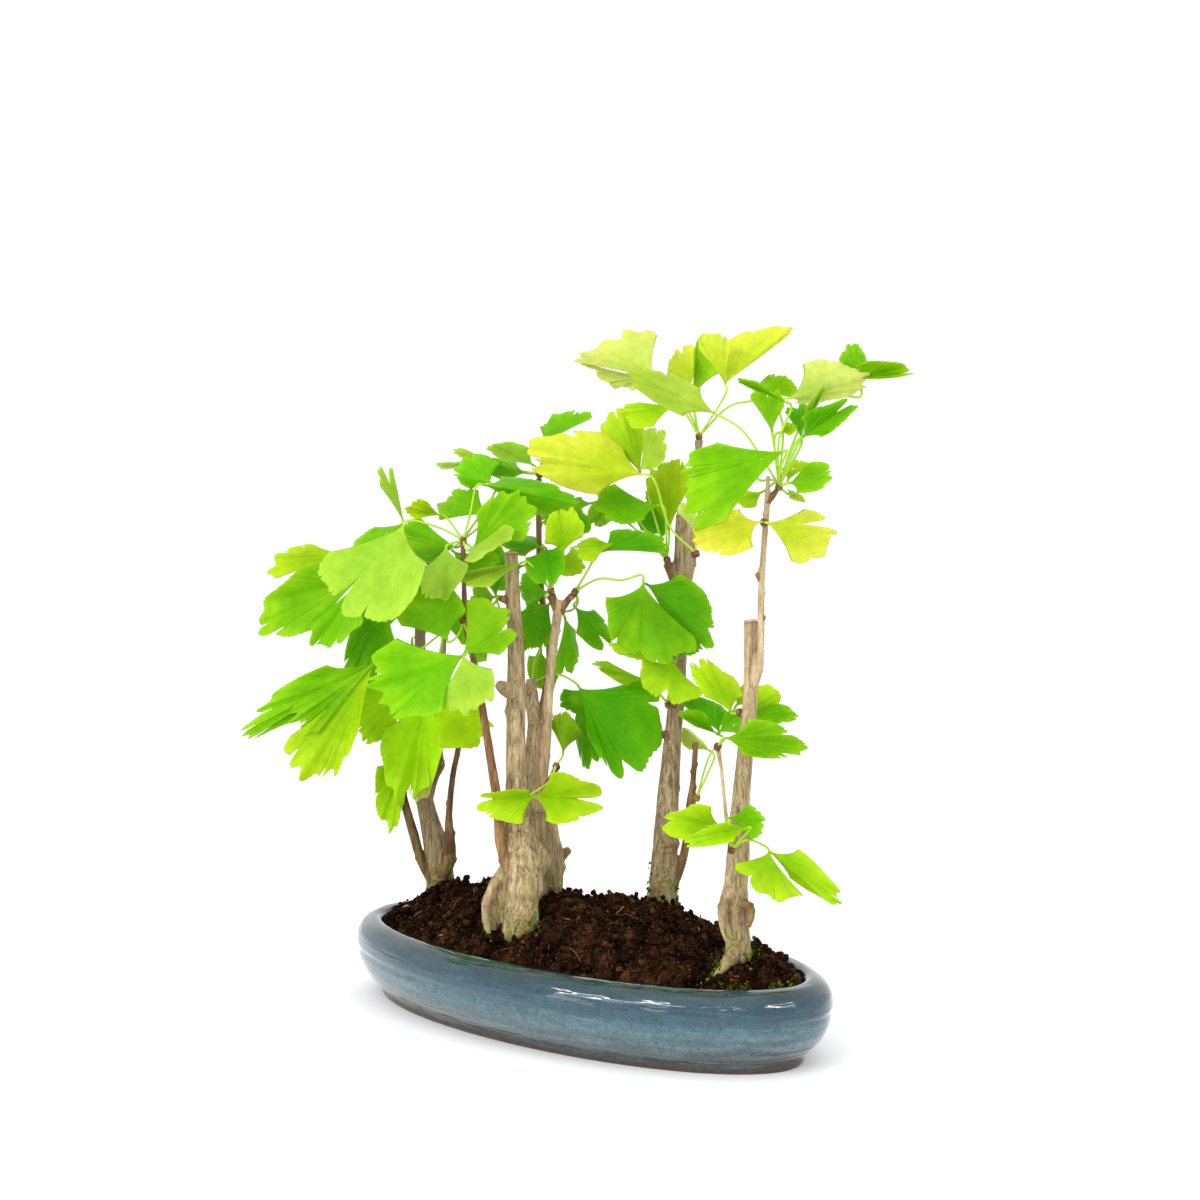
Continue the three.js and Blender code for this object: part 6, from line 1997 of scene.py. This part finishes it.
        surface, inner = self.skins(middle, lift, root - unit(along) * self.stalk_radius)
        spread = 0.5 * math.acos(float(np.clip(unit(spokes[0]) @ unit(spokes[2]), -1, 1))) * self.fullness
        fan = np.stack(np.broadcast_arrays(side * max(spread, 0.45), run, out), axis=-1)
        fans = np.vstack([fan.reshape(-1, 3), fan[inner].reshape(-1, 3), fan[0, :1] * 0])
        below = np.repeat((0.0, 1.0, 0.0), (fan[..., 0].size, fan[inner][..., 0].size, 1))
        surface.marks = {"tint": self.tint(leaf, surface.points, fans[:, 2], below, number), "fan": fans}
        if np.cross(along, across) @ face < 0:
            surface.quads, surface.tris = surface.quads[:, ::-1], surface.tris[:, ::-1]
        return surface

    def tint(self, leaf: Leaf, points: Array, out: Array, below: Array, number: int) -> Array:
        """A blade's colour per point: its tone, paler below, yellower at the neck and margin.

        Args:
            leaf: The leaf.
            points: Positions in mm.
            out: The share of the way from the root to the margin.
            below: 1 on the lower skin.
            number: The leaf's number, which picks its patches and its own shade.

        Returns:
            A linear colour per point.
        """
        upper, under, margin = (shade(code) for code in leaf.tone.value)
        draw = np.random.default_rng(number)
        tints = mix(upper, under, below * 0.85)
        edge = leaf.tone.yellowing * ease(0.72 - 0.4 * (leaf.tone.yellowing > 0.5), 1.0, out)
        tints = mix(tints, margin, np.minimum(1.0, edge + 0.25 * ease(0.25, 0.0, out)))
        patch = noise(points, 11.0, 60 + number % 7)
        tints = mix(tints, margin, 0.4 * ease(0.1, 0.9, patch))
        return tints * draw.uniform(0.92, 1.06, 3) * (1.0 - 0.16 * ease(0.1, 0.9, -patch))[:, None]

    def stalk(self, leaf: Leaf, foot: Array) -> Surface:
        """The leaf stalk: a slack round bar that widens at its foot and into the blade.

        Args:
            leaf: The leaf.
            foot: Where the stalk starts, in mm: the spur, or the root of the leaf before.

        Returns:
            The stalk with its tint.
        """
        root, into = leaf.root, unit(leaf.spokes[1])
        approach = root - into * np.linalg.norm(root - foot) * 0.12
        bends = [DRAWING.place(np.array(mark)) for mark in leaf.via or ()]
        path = smooth_path(np.array([foot, *bends, approach, root]), 1.6)
        share = np.linspace(0.0, 1.0, len(path))
        lobe = leaf.via is None
        foot_swell = 0.0 if lobe else 0.85
        radii = self.stalk_radius * (0.82 + foot_swell * np.exp(-share / 0.05) + 0.2 * share ** 6)
        bar = tube(path, radii, self.stalk_sides)
        along = np.concatenate([np.repeat(share, self.stalk_sides), [0.0, 1.0]])
        base = mix(shade("#b9c25a"), shade("#a3cc3a"), ease(0.0, 0.25, along))
        tints = mix(base, shade(leaf.tone.value[2]), ease(0.7, 1.0, along))
        if lobe:
            tints = np.tile(shade(leaf.tone.value[0]), (len(bar.points), 1))
        bar.marks = {"tint": tints, "fan": np.zeros((len(bar.points), 3))}
        return bar

    def spur(self, centre: Array, toward: Array) -> Surface:
        """The spur: a short knob ringed by old leaf scars and tipped with papery bud scales.

        Its radius rises and falls with the scars and with the scales round it.

        Args:
            centre: Its middle, in mm.
            toward: The direction in which it grows.

        Returns:
            The spur with its tint.
        """
        rings, sides = self.spur_rings, self.spur_sides
        share = np.linspace(0.0, 1.0, rings)
        path = centre + toward * np.linspace(-2.2, 2.5, rings)[:, None]
        bulge = 1.6 * np.sqrt(np.maximum(0.02, 1.0 - (2 * share - 0.9) ** 4 * 0.8)) * ease(1.06, 0.55, share)
        radii = 0.25 + bulge * (1.0 + 0.13 * np.sin(share * self.scar_count * 2 * np.pi))
        knob = tube(path, radii, sides)
        round_it = knob.points[:-2].reshape(rings, sides, 3)
        turn = circle(sides)[None, :]
        scale = 1.0 + 0.1 * np.sin(5 * turn + 9.0 * share[:, None]) * ease(0.3, 0.8, share[:, None])
        knob.points[:-2] = (path[:, None] + (round_it - path[:, None]) * scale[..., None]).reshape(-1, 3)
        tints = mix(shade("#76563a"), shade("#a5835c"), ease(-0.5, 0.6, noise(knob.points, 1.3, 77)))
        knob.marks = {"tint": tints, "fan": np.zeros((len(knob.points), 3))}
        knob.slot = 1
        return knob

    def build(self) -> list[Piece]:
        """Makes each whorl in place of its plain solid.

        Returns:
            The pieces, one a whorl.
        """
        scales = GroundMatter("bud scales, papery, overlapping", 0.7, 0.6, "#8a6a50")
        finishes = [GinkgoBlade().mix(), scales.mix()]
        pieces, number = [], 0
        for spray in SPRAYS:
            centre = DRAWING.place(np.array(spray.spur))
            parts, before = [], centre
            for leaf in spray.leaves:
                number += not leaf.twin
                foot = before if leaf.via is None else centre
                parts += [self.stalk(leaf, foot), self.blade(leaf, number)]
                before = leaf.root
            toward = unit(np.mean([unit(leaf.root - centre) for leaf in spray.leaves], axis=0) + 0.6 * UP)
            parts.append(self.spur(centre, toward))
            whole, slots = join(parts)
            piece = write_mesh(f"{spray.name}_fans", whole, finishes, slots)
            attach(piece, "root")
            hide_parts(spray.name)
            pieces.append(piece)
        return pieces


# ---------------------------------------------------------------- studio
@dataclass
class Studio:
    """A plain pale floor, soft white light from all round, and the camera.

    A panel of light is azimuth and elevation in degrees, distance, width and
    height in mm, and power in watts; azimuth 0 is in front of the tray's long side.
    """

    floor_half: float = 3000.0
    surround: float = 1.11
    aimed_at: float = 120.0
    panels: Rows = (
        (20.0, 62.0, 1500.0, 1400.0, 1400.0, 2.0),
        (-8.0, 20.0, 1720.0, 1050.0, 900.0, 6.5),
        (-7.0, 32.0, 1700.0, 1150.0, 100.0, 7.0),
        (33.0, 32.0, 1700.0, 700.0, 40.0, 1.0),
        (80.0, 35.0, 1700.0, 900.0, 80.0, 5.0),
        (215.0, 40.0, 1700.0, 1200.0, 900.0, 3.0),
    )
    focal_length: float = 67.05
    sensor: float = 36.0

    def floor(self) -> None:
        """Lays the floor: a flat grid, wide enough to run out of view."""
        span = np.linspace(-self.floor_half, self.floor_half, 5)
        x, y = np.meshgrid(span, span)
        points = level(x, y).reshape(-1, 3)
        flat = Surface(points, ring_quads(5, 5, closed=False))
        write_mesh("studio_floor", flat, [StudioSweep().mix()])

    def light(self) -> None:
        """Sets up white surroundings and the panels.

        They are a broad key panel, a low panel and three strips that shine in the
        glaze, and a back panel.
        """
        world = bpy.data.worlds.new("white surroundings")
        world.use_nodes = True
        background = world.node_tree.nodes["Background"]
        background.inputs["Color"].default_value = (1.0, 1.0, 1.0, 1.0)
        background.inputs["Strength"].default_value = self.surround
        bpy.context.scene.world = world
        for index, (azimuth, elevation, distance, width, height, power) in enumerate(self.panels):
            back = bearing(azimuth, elevation)
            lamp = bpy.data.lights.new(f"panel_{index}", "AREA")
            lamp.shape, lamp.size, lamp.size_y, lamp.energy = "RECTANGLE", width * MM, height * MM, power
            panel = bpy.data.objects.new(f"panel_{index}", lamp)
            bpy.context.scene.collection.objects.link(panel)
            right = unit(np.cross(UP, back))
            self.aim(panel, right, np.cross(back, right), back, back * distance + self.aimed_at * UP)

    def aim(self, thing: Piece, right: Array, up: Array, back: Array, place: Array) -> None:
        """Stands a lamp or camera at a place.

        Args:
            thing: The lamp or camera.
            right: Its direction to the right.
            up: Its upward direction.
            back: The direction away from what it is turned to.
            place: Where it stands, in mm.
        """
        matrix = np.eye(4)
        matrix[:3, :3] = np.stack([right, up, back], axis=-1)
        matrix[:3, 3] = place * MM
        thing.matrix_world = Matrix(matrix.tolist())

    def camera(self) -> None:
        """Puts the camera at the front drawing's eye."""
        lens = bpy.data.cameras.new("camera")
        lens.sensor_fit, lens.sensor_width, lens.lens = "HORIZONTAL", self.sensor, self.focal_length
        lens.clip_start, lens.clip_end = 0.05, 50.0
        thing = bpy.data.objects.new("camera", lens)
        bpy.context.scene.collection.objects.link(thing)
        self.aim(thing, DRAWING.rightward, DRAWING.upward, -DRAWING.look, DRAWING.eye)
        bpy.context.scene.camera = thing

    def build(self) -> None:
        """Sets up the floor, the light, the camera and plain colour reproduction."""
        self.floor()
        self.light()
        self.camera()
        bpy.context.scene.view_settings.view_transform = "Standard"


def dress_drain_nets() -> list[Piece]:
    """Gives the two drain nets, whose shape is right as it is, their plastic.

    Returns:
        The two nets.
    """
    finish = DrainNet().mix()
    nets = [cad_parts[name] for name in ("drain_mesh_left", "drain_mesh_right")]
    for net in nets:
        net.data.materials.clear()
        net.data.materials.append(finish)
    return nets


def main() -> None:
    """Builds the bonsai piece by piece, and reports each."""
    logging.basicConfig(level=logging.INFO, format="%(message)s")
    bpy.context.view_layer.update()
    Studio().build()
    soil = SoilBed()
    trees = Trees(soil)
    pieces = [Tray().build()]
    pieces += dress_drain_nets()
    pieces += soil.build(trees.feet())
    pieces += trees.build()
    pieces += Foliage().build()
    for piece in pieces:
        LOG.info("%s: %d points, %d faces", piece.name, len(piece.data.vertices), len(piece.data.polygons))


if __name__ == "__main__":
    main()
